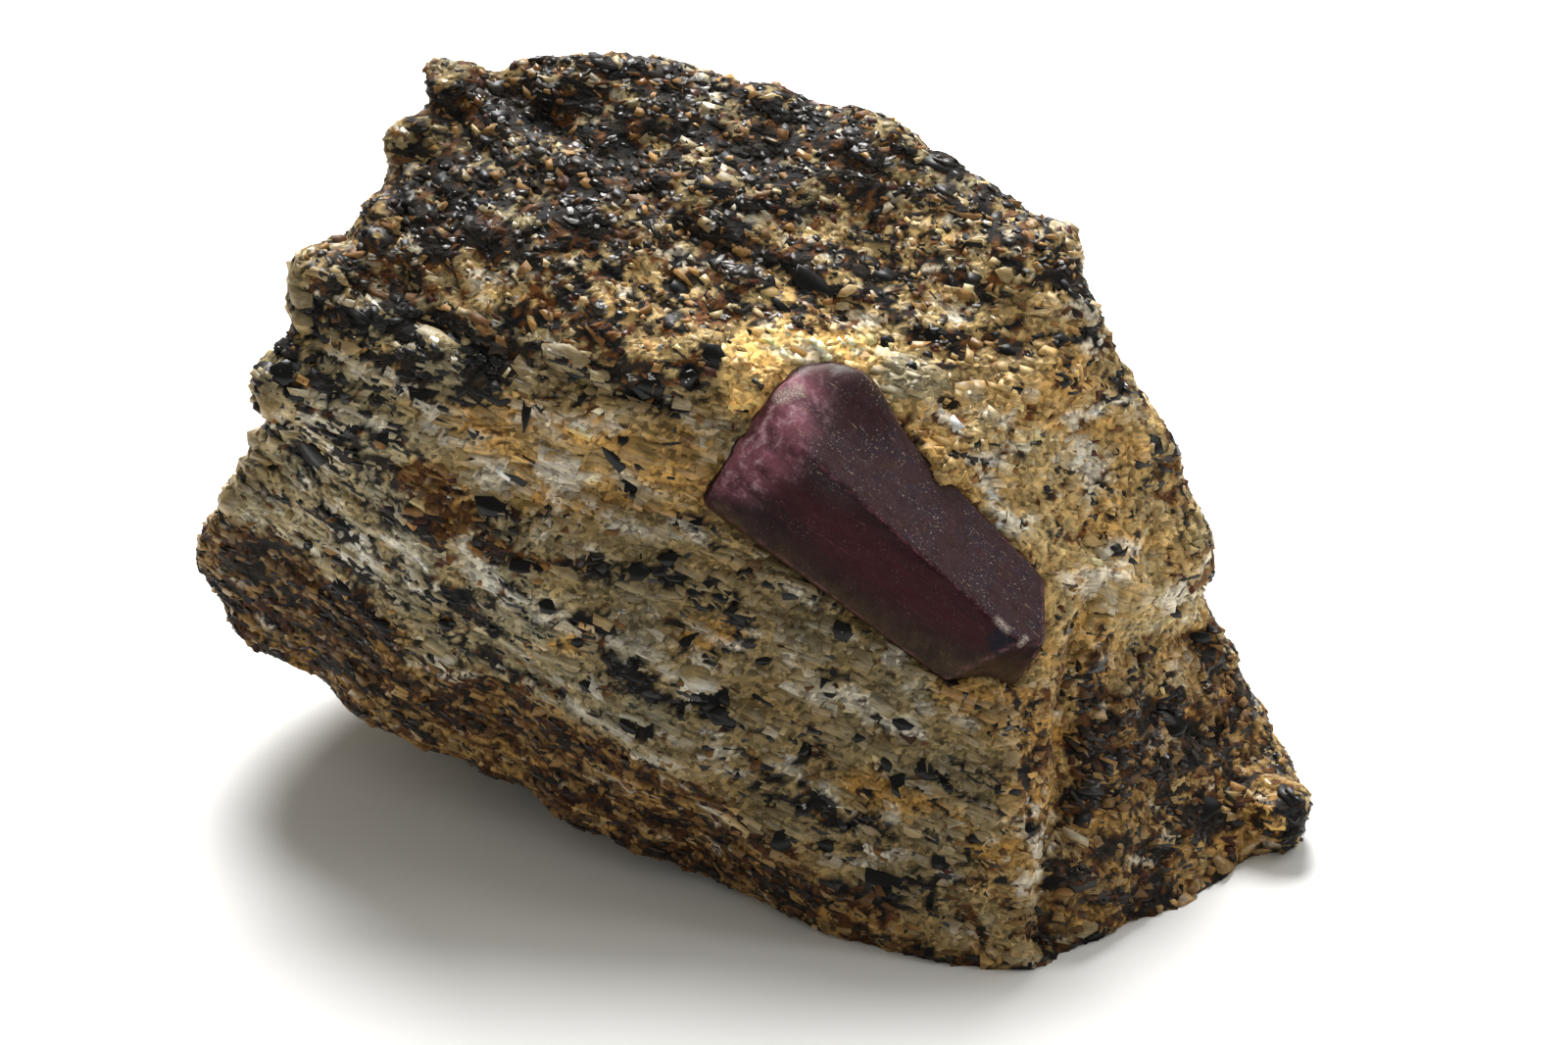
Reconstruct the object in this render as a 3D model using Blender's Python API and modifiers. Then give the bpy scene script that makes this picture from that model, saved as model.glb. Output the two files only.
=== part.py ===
"""Ruby in matrix: a broken block of banded biotite gneiss with one tapered ruby crystal standing out of its face.

Metres, +Z up. The block rests on a flat broken face at z = 0, and the crystal looks towards -Y.
"""

import math

import bmesh
import bpy
from mathutils import Matrix, Vector, noise

MM = 0.001

# The block's own frame: its front foot corner is the origin until the last step, and HEART lies deep inside it.
HEART = Vector((-11.0, 15.0, 15.0)) * MM
BLANK = 120.0 * MM
FLOOR_ALLOWANCE = 2.0 * MM

# Fracture faces as (heading, rise, reach): degrees round from the front (0 looks to -Y, 90 to +X), degrees above
# the horizontal, and millimetres from HEART.
FRONT = (-8, 22, 7.0)
LEFT_BEVEL = (-31, -4, 11.7)
TOP_LEFT = (-4, 58, 10.4)
TOP_RIGHT = (20, 59, 9.8)
RIGHT_SLOPE = (43, 25, 11.7)
RIGHT_LIP = (63, 10, 14.9)
UNDERCUT = (-29, -12, 12.2)
INNER_END = (-90, 0, 5.0)
SHARED = [
    TOP_RIGHT, UNDERCUT, (-45, -58, 16.5), (-95, -55, 21.5),
    (180, 0, 16.0), (-173, 41, 22.0), (163, 39, 19.6), (140, 29, 18.2), (116, 22, 17.6),
    (-150, 4, 20.8), (152, -14, 17.0),
]

BLOCKS = {
    "crown": [TOP_LEFT, FRONT, LEFT_BEVEL, RIGHT_SLOPE, RIGHT_LIP, (-99, 0, 17.6)],
    "lid": [(-4, 58, 11.0), (176, -58, -7.9), (-8, 22, 7.8), (22, -29, -2.5), (141, 27, 6.8), (-120, 8, 18.0)],
    "shoulder": [TOP_LEFT, FRONT, LEFT_BEVEL, (-125, 0, 18.6), (-60, -50, 16.0), (90, 0, 5.0)],
    "heel": [TOP_LEFT, FRONT, LEFT_BEVEL, (-128, 31, 19.0), (-77, -25, 25.6), (90, 0, 5.0)],
    "flank": [TOP_LEFT, FRONT, LEFT_BEVEL, RIGHT_SLOPE, (113, 18, 18.4), (40, -50, 11.0), INNER_END],
    "knee": [TOP_LEFT, FRONT, LEFT_BEVEL, (50, 35, 9.0), (25, 5, 16.3), (110, 15, 19.3), INNER_END],
}

# Knobs that stand out of the rim of the block: where each lies, and its width, in millimetres.
KNOBS = [
    ((-26.3, 25.7, 32.6), 2.4),
    ((-27.4, 23.4, 30.6), 2.8),
    ((-28.6, 18.8, 28.0), 2.6),
    ((-31.6, 16.4, 27.2), 2.4),
    ((-33.2, 13.8, 22.9), 2.8),
    ((1.4, 20.2, 26.0), 3.4),
    ((13.4, 10.6, 1.6), 2.6),
    ((5.0, 11.6, 13.6), 3.0),
]
# How far each knob is turned on from the one before it, in radians about X and about Z.
KNOB_TURN = (1.1, 0.7)

# Relief of the broken faces: broad lumps, small dents and ledges that step down along the banding.
BANDING = (61, 72)
LUMP_SPACING = 7.0 * MM
LUMP_HEIGHT = 0.6 * MM
DENT_SPACING = 2.6 * MM
DENT_HEIGHT = 0.4 * MM
# Keeps the dents out of step with the lumps.
DENT_OFFSET = Vector((7.3, 1.9, 4.1))
LEDGE_SPACING = 2.4 * MM
LEDGE_HEIGHT = 0.2 * MM
LEDGE_WANDER = 2.0
# Where the rock has broken away above the crystal.
SCOOP = Vector((-2.6, 11.4, 20.5)) * MM
SCOOP_RADIUS = 5.0 * MM
SCOOP_DEPTH = 1.3 * MM
VOXEL = 0.8 * MM
TRIANGLES = 8600

# The crystal: a six-sided barrel with one ridge towards the viewer, from its wide end to its narrow end.
RUBY_RIDGE = Vector((-5.0, 6.8, 19.0)) * MM
RUBY_AXIS = (66, -34)
RUBY_RIDGE_LOOK = (6, 36)
RUBY_WIDE = 5.2 * MM
RUBY_NARROW = 3.5 * MM
RUBY_LENGTH = 18.0 * MM
RUBY_SIDES = 6
# Facets that cut its ends: the way each faces along the crystal's own axes, and its reach in millimetres.
RUBY_FACETS = [
    ((-0.19, 0.0, -0.98), 8.9),
    ((-0.2, 0.8, -0.56), 7.4),
    ((0.74, 0.1, -0.66), 8.4),
    ((0.15, 0.0, 0.99), 8.1),
    ((0.65, 0.1, 0.75), 6.9),
    ((-0.55, 0.45, 0.70), 6.7),
]
GAP = 0.3 * MM

GNEISS_COLOUR = (0.33, 0.26, 0.17)
RUBY_COLOUR = (0.10, 0.025, 0.045)
GNEISS_ROUGHNESS = 0.75
RUBY_ROUGHNESS = 0.35


def direction(heading, rise):
    """The unit vector that looks heading degrees round from -Y and rise degrees above the horizontal."""
    turn, lift = math.radians(heading), math.radians(rise)
    return Vector((math.sin(turn) * math.cos(lift), -math.cos(turn) * math.cos(lift), math.sin(lift)))


def material(name, colour, roughness):
    """A Principled material with the piece's own colour."""
    made = bpy.data.materials.new(name)
    made.use_nodes = True
    shader = made.node_tree.nodes["Principled BSDF"]
    shader.inputs["Base Color"].default_value = (*colour, 1.0)
    shader.inputs["Roughness"].default_value = roughness
    shader.inputs["Metallic"].default_value = 0.0
    return made


def clear_scene():
    """Remove what the file starts with."""
    for thing in list(bpy.data.objects):
        bpy.data.objects.remove(thing, do_unlink=True)


def collection(name):
    """A new collection in the scene."""
    made = bpy.data.collections.new(name)
    bpy.context.scene.collection.children.link(made)
    return made


def new_object(name, mesh_data, home):
    """An object for a bmesh, in the collection home."""
    mesh = bpy.data.meshes.new(name)
    mesh_data.to_mesh(mesh)
    mesh_data.free()
    made = bpy.data.objects.new(name, mesh)
    home.objects.link(made)
    return made


def hide_cutter(cutter):
    """Keep a cutter out of the part."""
    cutter.hide_render = True
    cutter.display_type = "WIRE"


def slice_off(solid, point, normal):
    """Cut a closed convex bmesh by a plane, drop what lies outside it and close the cut."""
    everything = solid.verts[:] + solid.edges[:] + solid.faces[:]
    cut = bmesh.ops.bisect_plane(
        solid, geom=everything, dist=1e-7, plane_co=point, plane_no=normal, clear_outer=True
    )
    rim = [item for item in cut["geom_cut"] if isinstance(item, bmesh.types.BMEdge)]
    if rim:
        bmesh.ops.contextual_create(solid, geom=rim)


def fracture_block(faces):
    """A convex block of rock, as a bmesh, broken out of a cube along its fracture faces."""
    solid = bmesh.new()
    bmesh.ops.create_cube(solid, size=BLANK, matrix=Matrix.Translation(HEART))
    for heading, rise, reach in faces:
        normal = direction(heading, rise)
        slice_off(solid, HEART + normal * (reach * MM), normal)
    slice_off(solid, Vector((0.0, 0.0, -FLOOR_ALLOWANCE)), Vector((0.0, 0.0, -1.0)))
    return solid


def joined_blocks():
    """All the blocks and knobs of the rock in one bmesh, still overlapping."""
    joined = bmesh.new()
    for faces in BLOCKS.values():
        solid = fracture_block(SHARED + faces)
        mesh = bpy.data.meshes.new("block")
        solid.to_mesh(mesh)
        solid.free()
        joined.from_mesh(mesh)
        bpy.data.meshes.remove(mesh)
    for turn, (place, width) in enumerate(KNOBS):
        spin = Matrix.Rotation(turn * KNOB_TURN[0], 4, "X") @ Matrix.Rotation(turn * KNOB_TURN[1], 4, "Z")
        stand = Matrix.Translation(Vector(place) * MM) @ spin
        bmesh.ops.create_cube(joined, size=width * MM, matrix=stand)
    return joined


def relief(point, banding):
    """How far the broken surface stands out at a point: lumps, dents, ledges along the banding, and the scoop."""
    lumps = LUMP_HEIGHT * noise.noise(point / LUMP_SPACING)
    dents = DENT_HEIGHT * noise.noise(point / DENT_SPACING + DENT_OFFSET)
    layer = point.dot(banding) / LEDGE_SPACING + LEDGE_WANDER * noise.noise(point / LUMP_SPACING)
    ledges = LEDGE_HEIGHT * ((layer % 1.0) - 0.5)
    scoop = SCOOP_DEPTH * math.exp(-(((point - SCOOP).length / SCOOP_RADIUS) ** 2))
    return lumps + dents + ledges - scoop


def add_boolean(target, cutter, operation):
    """Join or cut the target with another solid."""
    modifier = target.modifiers.new(operation.lower() + "_" + cutter.name, "BOOLEAN")
    modifier.operation = operation
    modifier.solver = "EXACT"
    modifier.object = cutter


def bake_modifiers(target):
    """Replace the target's mesh with the one that its modifiers make."""
    bpy.context.view_layer.update()
    evaluated = target.evaluated_get(bpy.context.evaluated_depsgraph_get())
    mesh = bpy.data.meshes.new_from_object(evaluated)
    target.modifiers.clear()
    target.data = mesh


def build_matrix(home):
    """The rock: blocks joined by a voxel remesh, given their relief, thinned and cut off flat at z = 0."""
    rock = new_object("matrix", joined_blocks(), home)
    remesh = rock.modifiers.new("one_surface", "REMESH")
    remesh.mode = "VOXEL"
    remesh.voxel_size = VOXEL
    bake_modifiers(rock)
    banding = direction(*BANDING)
    shifts = [vertex.normal * relief(vertex.co, banding) for vertex in rock.data.vertices]
    for vertex, shift in zip(rock.data.vertices, shifts):
        vertex.co += shift
    thin = rock.modifiers.new("fewer_facets", "DECIMATE")
    thin.ratio = TRIANGLES / (2.0 * len(rock.data.polygons))
    bake_modifiers(rock)
    solid = bmesh.new()
    solid.from_mesh(rock.data)
    slice_off(solid, Vector((0.0, 0.0, 0.0)), Vector((0.0, 0.0, -1.0)))
    bmesh.ops.triangulate(solid, faces=solid.faces)
    solid.to_mesh(rock.data)
    solid.free()
    return rock


def ruby_frame():
    """The crystal's centre and axes: +Z to its narrow end, +Y to the ridge that shows."""
    along = direction(*RUBY_AXIS)
    ridge = direction(*RUBY_RIDGE_LOOK)
    ridge = (ridge - along * ridge.dot(along)).normalized()
    side = ridge.cross(along)
    centre = RUBY_RIDGE - ridge * ((RUBY_WIDE + RUBY_NARROW) / 2)
    frame = Matrix((side, ridge, along)).transposed().to_4x4()
    return Matrix.Translation(centre) @ frame


def build_ruby(name, home, grown=0.0):
    """The crystal, or its pocket's cutter, which is grown all round."""
    solid = bmesh.new()
    stretch = grown / math.cos(math.pi / RUBY_SIDES)
    bmesh.ops.create_cone(
        solid,
        cap_ends=True,
        segments=RUBY_SIDES,
        radius1=RUBY_WIDE + stretch,
        radius2=RUBY_NARROW + stretch,
        depth=RUBY_LENGTH + 2 * grown,
    )
    for facing, reach in RUBY_FACETS:
        normal = Vector(facing).normalized()
        slice_off(solid, normal * (reach * MM + grown), normal)
    bmesh.ops.transform(solid, matrix=ruby_frame(), verts=solid.verts)
    bmesh.ops.recalc_face_normals(solid, faces=solid.faces)
    return new_object(name, solid, home)


def stand_on_origin(pieces, cutter):
    """Move the finished pieces, and the cutter with them, so that the origin is under the middle of their box."""
    corners = [vertex.co for piece in pieces for vertex in piece.data.vertices]
    low = Vector([min(corner[axis] for corner in corners) for axis in range(3)])
    high = Vector([max(corner[axis] for corner in corners) for axis in range(3)])
    shift = Matrix.Translation(-Vector(((low.x + high.x) / 2, (low.y + high.y) / 2, low.z)))
    for moved in (*pieces, cutter):
        moved.data.transform(shift)


clear_scene()
parts = collection("ruby_in_matrix")
cutters = collection("cutters")
matrix = build_matrix(parts)
ruby = build_ruby("ruby_crystal", parts)
pocket = build_ruby("pocket", cutters, GAP)
hide_cutter(pocket)
add_boolean(matrix, pocket, "DIFFERENCE")
bake_modifiers(matrix)
matrix.data.materials.clear()
matrix.data.materials.append(material("gneiss", GNEISS_COLOUR, GNEISS_ROUGHNESS))
ruby.data.materials.append(material("ruby", RUBY_COLOUR, RUBY_ROUGHNESS))
stand_on_origin([matrix, ruby], pocket)
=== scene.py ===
"""Ruby in matrix, dressed: a broken block of banded gneiss, its mineral grains and a ruby crystal, on white."""

import itertools
import math
import bmesh
import bpy
import numpy as np
from mathutils import Matrix, Vector
from mathutils.bvhtree import BVHTree


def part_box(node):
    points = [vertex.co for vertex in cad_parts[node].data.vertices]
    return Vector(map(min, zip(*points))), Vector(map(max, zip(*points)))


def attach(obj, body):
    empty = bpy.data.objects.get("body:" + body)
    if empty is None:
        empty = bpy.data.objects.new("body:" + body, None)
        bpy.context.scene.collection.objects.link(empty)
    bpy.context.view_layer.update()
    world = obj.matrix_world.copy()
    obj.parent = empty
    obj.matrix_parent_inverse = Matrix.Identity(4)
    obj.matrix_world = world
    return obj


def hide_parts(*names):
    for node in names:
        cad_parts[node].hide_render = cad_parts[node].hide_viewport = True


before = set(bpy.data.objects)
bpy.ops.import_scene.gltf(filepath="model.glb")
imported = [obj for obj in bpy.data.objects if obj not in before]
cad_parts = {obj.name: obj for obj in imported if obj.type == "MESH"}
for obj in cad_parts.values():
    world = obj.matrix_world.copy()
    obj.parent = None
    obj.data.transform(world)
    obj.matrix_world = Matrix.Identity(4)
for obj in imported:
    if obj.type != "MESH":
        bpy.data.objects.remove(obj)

bl_info = {
    "name": "Ruby in Matrix",
    "version": (1, 0, 0),
    "blender": (4, 5, 0),
    "location": "View3D > Sidebar > Ruby in Matrix",
    "description": "Builds a ruby crystal in a broken block of banded gneiss",
    "category": "Object",
}

MM = 0.001
SEED = 20
# Grains to scatter for each square of their spacing, in square metres: a few times the rock's skin, so that
# the spacing sets how many stay.
SCATTER_AREA = 2.6e-2
# How far the floor runs each way, in metres.
FLOOR_REACH = 1.5
# How near the crystal the rock's skin starts to sink, how far it sinks there, and how high its relief fades
# in over the floor, in millimetres.
RUBY_MARGIN, RUBY_SINK, BASE_FADE = 0.35, 0.5, 0.6
# How far the grains' corners stay from the crystal and the floor.
CRYSTAL_GAP = 0.02 * MM
FLOOR_GAP = 0.01 * MM
# The crystal's grid: steps round it and rows from end to end.
RUBY_ROUNDS, RUBY_ROWS = 420, 228
# The edges' sharpness at the crystal's worn wide end, and how much sharper they are from its middle on.
WORN_SHARPNESS, ADDED_SHARPNESS = 20, 54

# The camera looks at AIM from straight in front and 30 degrees up, through a 100 mm lens.
MATRIX_LOW, MATRIX_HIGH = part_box("matrix")
AIM = (MATRIX_LOW + MATRIX_HIGH) / 2 + Vector((1.69, -5.46, 0.81)) * MM
CAMERA_DISTANCE = 200.0 * MM
CAMERA_RISE = 30.0
LENS = 100.0
SENSOR = 36.0
PICTURE_WIDTH, PICTURE_HEIGHT = 1600, 1066

# Ways that things look, as headings and rises in degrees: the rock's layers, its front face, the crystal's
# narrow end and the ridge that faces the picture. The streaks run where the layers meet the front face.
LAYERS_LOOK = (61, 72)
FRONT_LOOK = (-8, 22)
RUBY_AXIS = (66, -34)
RUBY_RIDGE_LOOK = (6, 36)

# Areas of the rock as they lie in the picture of it, 1600 x 1066 pixels: an outline, its soft edge, and what
# the rock is there. The numbers are the share of dark and of rusty grains, how warm the pale grains are, how
# light they all are, how sugary rather than streaky they lie, and their size.
AREA_FIELDS = ("dark", "rust", "warm", "light", "sugar", "size")
AREAS = {
    "front face": ([(270, 280), (740, 330), (1120, 300), (1120, 700), (1040, 990), (560, 800), (200, 600)],
        20, (0.12, 0.03, 0.42, 0.63, 0.15, 1)),
    "left bevel": ([(190, 570), (250, 490), (280, 300), (430, 330), (480, 470), (600, 600), (720, 740),
        (550, 720), (360, 650)], 30, (0.27, 0.04, 0.14, 0.88, 0.2, 1)),
    "dark upper left": ([(270, 420), (300, 290), (440, 320), (560, 360), (520, 410), (440, 400), (420, 470),
        (330, 480)], 16, (0.62, 0.04, 0.2, 0.98, 0.2, 1.1)),
    "yellow patch": ([(480, 420), (600, 410), (740, 440), (740, 500), (620, 530), (500, 500)],
        20, (0.02, 0.04, 0.72, 0.84, 0.3, 1.3)),
    "grey patch": ([(640, 530), (860, 600), (980, 720), (860, 760), (700, 680), (560, 560)],
        24, (0.05, 0.01, 0.34, 0.62, 0.3, 1.2)),
    "lid": ([(430, 55), (540, 85), (640, 190), (780, 240), (890, 330), (740, 345), (690, 400), (620, 385),
        (570, 365), (530, 340), (440, 320), (400, 300), (300, 290), (385, 240), (412, 215), (400, 120)],
        8, (0.6, 0.24, 0.3, 0.82, 0.3, 0.7)),
    "lid dark": ([(440, 70), (530, 90), (600, 160), (680, 215), (700, 245), (620, 262), (520, 262),
        (425, 265), (410, 225), (405, 130)], 20, (0.7, 0.22, 0.28, 0.78, 0.3, 0.75)),
    "lid front": ([(560, 260), (700, 260), (860, 320), (740, 345), (690, 400), (590, 350), (430, 290)],
        20, (0.32, 0.22, 0.46, 1.25, 0.5, 0.6)),
    "back top": ([(530, 40), (640, 30), (780, 60), (900, 110), (1000, 180), (1000, 250), (900, 300),
        (780, 240), (640, 190), (560, 95)], 14, (0.62, 0.18, 0.2, 0.92, 0.4, 0.7)),
    "back mix": ([(760, 230), (980, 200), (1110, 250), (1110, 340), (1000, 400), (900, 345), (740, 345)],
        16, (0.38, 0.16, 0.45, 1.03, 0.5, 0.75)),
    # The honey band's lightness of 1.8 is partly pale cream grains and partly painted light, as the band looks up
    # and to the right.
    "honey band": ([(715, 350), (800, 330), (900, 335), (960, 400), (1000, 470), (930, 480), (860, 440),
        (780, 420), (740, 420)], 8, (0, 0.03, 0.58, 1.8, 0.8, 0.8)),
    "right slope": ([(920, 380), (1060, 380), (1130, 330), (1200, 460), (1250, 580), (1230, 640),
        (1100, 660), (1060, 700), (1000, 640), (900, 480)], 14, (0.04, 0.07, 0.64, 1.1, 0.9, 1.1)),
    "right rim": ([(1090, 240), (1210, 440), (1290, 640), (1340, 830), (1290, 830), (1240, 640), (1170, 450),
        (1070, 290)], 12, (0.32, 0.12, 0.5, 0.9, 0.7, 0.9)),
    "knee": ([(1100, 650), (1250, 640), (1330, 830), (1310, 900), (1180, 960), (1050, 970), (1080, 800)],
        12, (0.4, 0.32, 0.8, 0.6, 0.5, 0.9)),
    "lip": ([(1050, 690), (1110, 640), (1090, 800), (1045, 985), (1000, 995), (990, 900), (1030, 760)],
        10, (0.14, 0.14, 0.66, 0.84, 0.4, 0.8)),
    "pale lump": ([(1085, 575), (1150, 550), (1215, 590), (1225, 640), (1165, 655), (1110, 645)],
        12, (0.01, 0.02, 0.48, 1.25, 0.7, 1.2)),
    "knee pale": ([(1118, 650), (1190, 650), (1212, 690), (1205, 735), (1150, 715), (1122, 700)],
        10, (0.12, 0.1, 0.6, 0.85, 0.5, 1)),
    "knee corner": ([(1215, 760), (1300, 770), (1310, 830), (1290, 890), (1200, 915), (1180, 860)],
        12, (0.2, 0.24, 0.8, 0.74, 0.4, 1)),
    "black knob": ([(1302, 812), (1325, 806), (1345, 835), (1330, 870), (1304, 862)],
        5, (0.99, 0, 0.3, 0.8, 0.3, 1)),
    "quartz bead": ([(896, 374), (914, 363), (948, 368), (956, 392), (936, 408), (906, 400)],
        4, (0, 0, 0.12, 1.05, 0.1, 1.3)),
    "garnet spot": ([(420, 470), (465, 478), (488, 515), (474, 548), (440, 545), (414, 512)],
        8, (0.15, 0.75, 0.9, 0.62, 0.3, 1)),
    "right edge": ([(1215, 470), (1240, 560), (1290, 700), (1325, 800), (1290, 760), (1250, 640), (1220, 560)],
        12, (0.3, 0.2, 0.4, 1, 0.6, 0.8)),
    "underside": ([(180, 580), (240, 590), (360, 650), (550, 722), (700, 800), (800, 880), (900, 940),
        (1010, 985), (1000, 1020), (800, 980), (560, 840), (300, 740), (180, 620)],
        12, (0.38, 0.42, 0.85, 0.56, 0.3, 0.9)),
    "left tip": ([(180, 520), (240, 530), (330, 580), (420, 650), (380, 700), (240, 660), (180, 600)],
        16, (0.46, 0.36, 0.85, 0.44, 0.3, 0.9)),
}
# Streaks and spots on the faces, in the same pixels: what each has more of, how much, and points along it
# with its width.
STREAK_LINES = {
    "dark": (0.7, [
        # This line's streak and the first two on the next lie under the lid's front edge: partly dark mica and
        # partly painted shade under its overhang.
        ([(400, 315), (470, 330), (540, 345), (600, 368), (640, 398), (700, 402)], 20),
        ([(560, 300), (600, 330), (650, 375), (700, 388)], 16), ([(640, 385), (690, 395)], 26),
        ([(470, 365), (495, 375)], 20), ([(430, 545), (530, 575), (600, 580), (690, 590), (760, 640)], 13),
        ([(600, 640), (680, 700), (740, 750), (810, 805), (880, 840), (950, 880)], 17),
        ([(700, 760), (760, 790), (840, 825)], 14), ([(860, 890), (905, 912), (950, 905)], 22),
        ([(260, 500), (330, 530), (420, 590), (520, 640)], 12), ([(200, 590), (300, 610), (400, 660)], 14),
        ([(285, 400), (330, 440), (390, 470)], 22), ([(310, 360), (340, 370)], 20),
        ([(1170, 720), (1230, 750)], 26), ([(1200, 820), (1240, 840)], 24),
        ([(540, 90), (600, 150), (700, 215), (820, 270)], 22), ([(690, 392), (735, 362)], 14),
        ([(760, 318), (860, 305)], 12),
    ]),
    "rust": (0.55, [
        ([(410, 480), (450, 500), (480, 530), (440, 545)], 20), ([(450, 560), (520, 570), (600, 575)], 10),
        ([(250, 600), (330, 650), (430, 700), (560, 720)], 16), ([(700, 800), (800, 870), (900, 930)], 14),
        ([(500, 350), (530, 365)], 10), ([(1040, 830), (1060, 760)], 14), ([(1190, 480), (1200, 520)], 12),
        ([(215, 545), (270, 550)], 14), ([(660, 500), (680, 490)], 8), ([(985, 905), (1000, 935)], 12),
    ]),
    "white": (0.9, [
        ([(290, 460), (330, 510), (370, 560), (420, 590), (470, 620)], 20), ([(395, 380), (412, 396)], 14),
        ([(425, 425), (455, 448), (470, 460)], 12), ([(560, 470), (600, 510), (640, 530), (700, 540)], 16),
        ([(640, 385), (700, 440), (760, 470)], 13), ([(770, 570), (840, 630), (900, 660)], 12),
        ([(660, 715), (730, 765), (760, 790)], 9), ([(840, 865), (900, 880), (940, 870)], 11),
        ([(490, 590), (560, 625), (640, 670)], 10), ([(760, 720), (830, 790), (880, 830)], 9),
        ([(1000, 950), (1050, 925), (1062, 860)], 12), ([(640, 295), (670, 300)], 10),
        ([(1090, 600), (1150, 585), (1200, 610)], 14), ([(830, 250), (850, 265)], 12),
        ([(1000, 225), (1040, 250)], 14), ([(1130, 560), (1180, 575)], 12), ([(1000, 470), (1035, 540)], 13),
        ([(1095, 420), (1140, 490)], 12), ([(950, 410), (985, 440)], 9), ([(1000, 560), (960, 500)], 8),
        ([(880, 730), (940, 760)], 10), ([(620, 700), (700, 760)], 8), ([(900, 820), (980, 900)], 10),
        ([(700, 800), (760, 840)], 7), ([(560, 690), (600, 730)], 8), ([(800, 700), (850, 740)], 9),
        ([(480, 540), (530, 560)], 8), ([(330, 300), (360, 330)], 14),
    ]),
    "warm": (1, [
        ([(480, 430), (560, 430), (620, 440)], 26), ([(560, 505), (640, 518), (720, 530)], 12),
        ([(350, 345), (395, 380)], 16), ([(960, 705), (1040, 720), (1090, 760)], 26),
        ([(880, 800), (960, 830), (1010, 880)], 18), ([(700, 640), (760, 650)], 12),
        ([(790, 545), (800, 560)], 12), ([(540, 660), (620, 640)], 10),
        ([(1000, 880), (1040, 840), (1070, 780)], 14),
    ]),
}
# Grooves between the rock's ledges, and lumps, which have a depth below 0: points along each, its width in
# pixels and its depth in millimetres.
GROOVES = [
    ([(1118, 612), (1108, 660), (1092, 740), (1085, 830), (1072, 900), (1066, 965)], 14, 1),
    ([(430, 322), (540, 368), (620, 402), (700, 414)], 9, 0.4), ([(640, 495), (652, 503)], 14, 0.4),
    ([(1210, 645), (1230, 655)], 14, 0.6), ([(917, 385), (936, 389)], 22, -0.5),
    ([(385, 250), (398, 262)], 16, -0.5), ([(300, 300), (330, 280)], 16, -0.4),
    ([(270, 480), (300, 470)], 14, 0.5), ([(420, 290), (400, 255), (412, 215)], 9, 0.5),
    ([(540, 95), (610, 165), (700, 225)], 12, 0.4), ([(700, 240), (790, 275), (870, 320)], 12, 0.35),
    ([(1180, 720), (1235, 745)], 16, 0.5),
]
# Plates of mica that catch the light: where each shows, its length and its width there.
GLINTS = [
    (557, 88, 20, 14), (614, 67, 9, 13), (636, 85, 8, 8), (673, 85, 15, 10), (702, 83, 18, 12),
    (707, 101, 9, 9), (691, 117, 11, 8), (659, 110, 10, 6), (600, 74, 8, 6), (582, 74, 8, 6),
    (623, 145, 10, 5), (586, 147, 12, 6), (511, 122, 8, 6), (486, 160, 14, 8), (648, 201, 7, 6),
    (627, 220, 13, 9), (591, 215, 22, 9), (605, 224, 14, 7), (577, 205, 9, 7), (505, 281, 12, 5),
    (627, 263, 8, 6), (736, 267, 20, 8), (764, 274, 22, 9), (750, 279, 14, 7), (773, 263, 11, 6),
    (405, 254, 8, 12), (459, 247, 11, 7), (568, 285, 9, 5), (614, 313, 8, 5), (545, 92, 10, 6),
    (642, 63, 8, 6), (720, 92, 8, 8), (880, 150, 10, 7), (905, 165, 12, 6), (820, 120, 8, 6),
    (760, 130, 7, 5), (520, 200, 8, 5), (470, 210, 9, 5), (560, 180, 8, 5), (690, 200, 8, 5),
    (728, 230, 9, 6), (1050, 262, 24, 7), (1078, 268, 12, 8), (990, 318, 16, 6), (960, 350, 8, 6),
    (790, 773, 14, 5), (803, 776, 6, 4), (778, 777, 7, 4), (965, 890, 8, 6), (704, 712, 6, 4),
    (719, 746, 6, 5), (820, 821, 6, 4), (1048, 815, 6, 5), (633, 625, 8, 4), (458, 483, 5, 4),
    (458, 507, 5, 4), (380, 262, 10, 6), (646, 385, 7, 5), (664, 383, 6, 5), (700, 388, 5, 5),
    (675, 355, 6, 4), (790, 325, 12, 4), (740, 322, 7, 4), (1230, 700, 5, 4), (1212, 672, 7, 4),
    (1190, 770, 5, 3),
]
GLINT_PLATES = 6
GLINT_LOOK = (0, 80)
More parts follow.
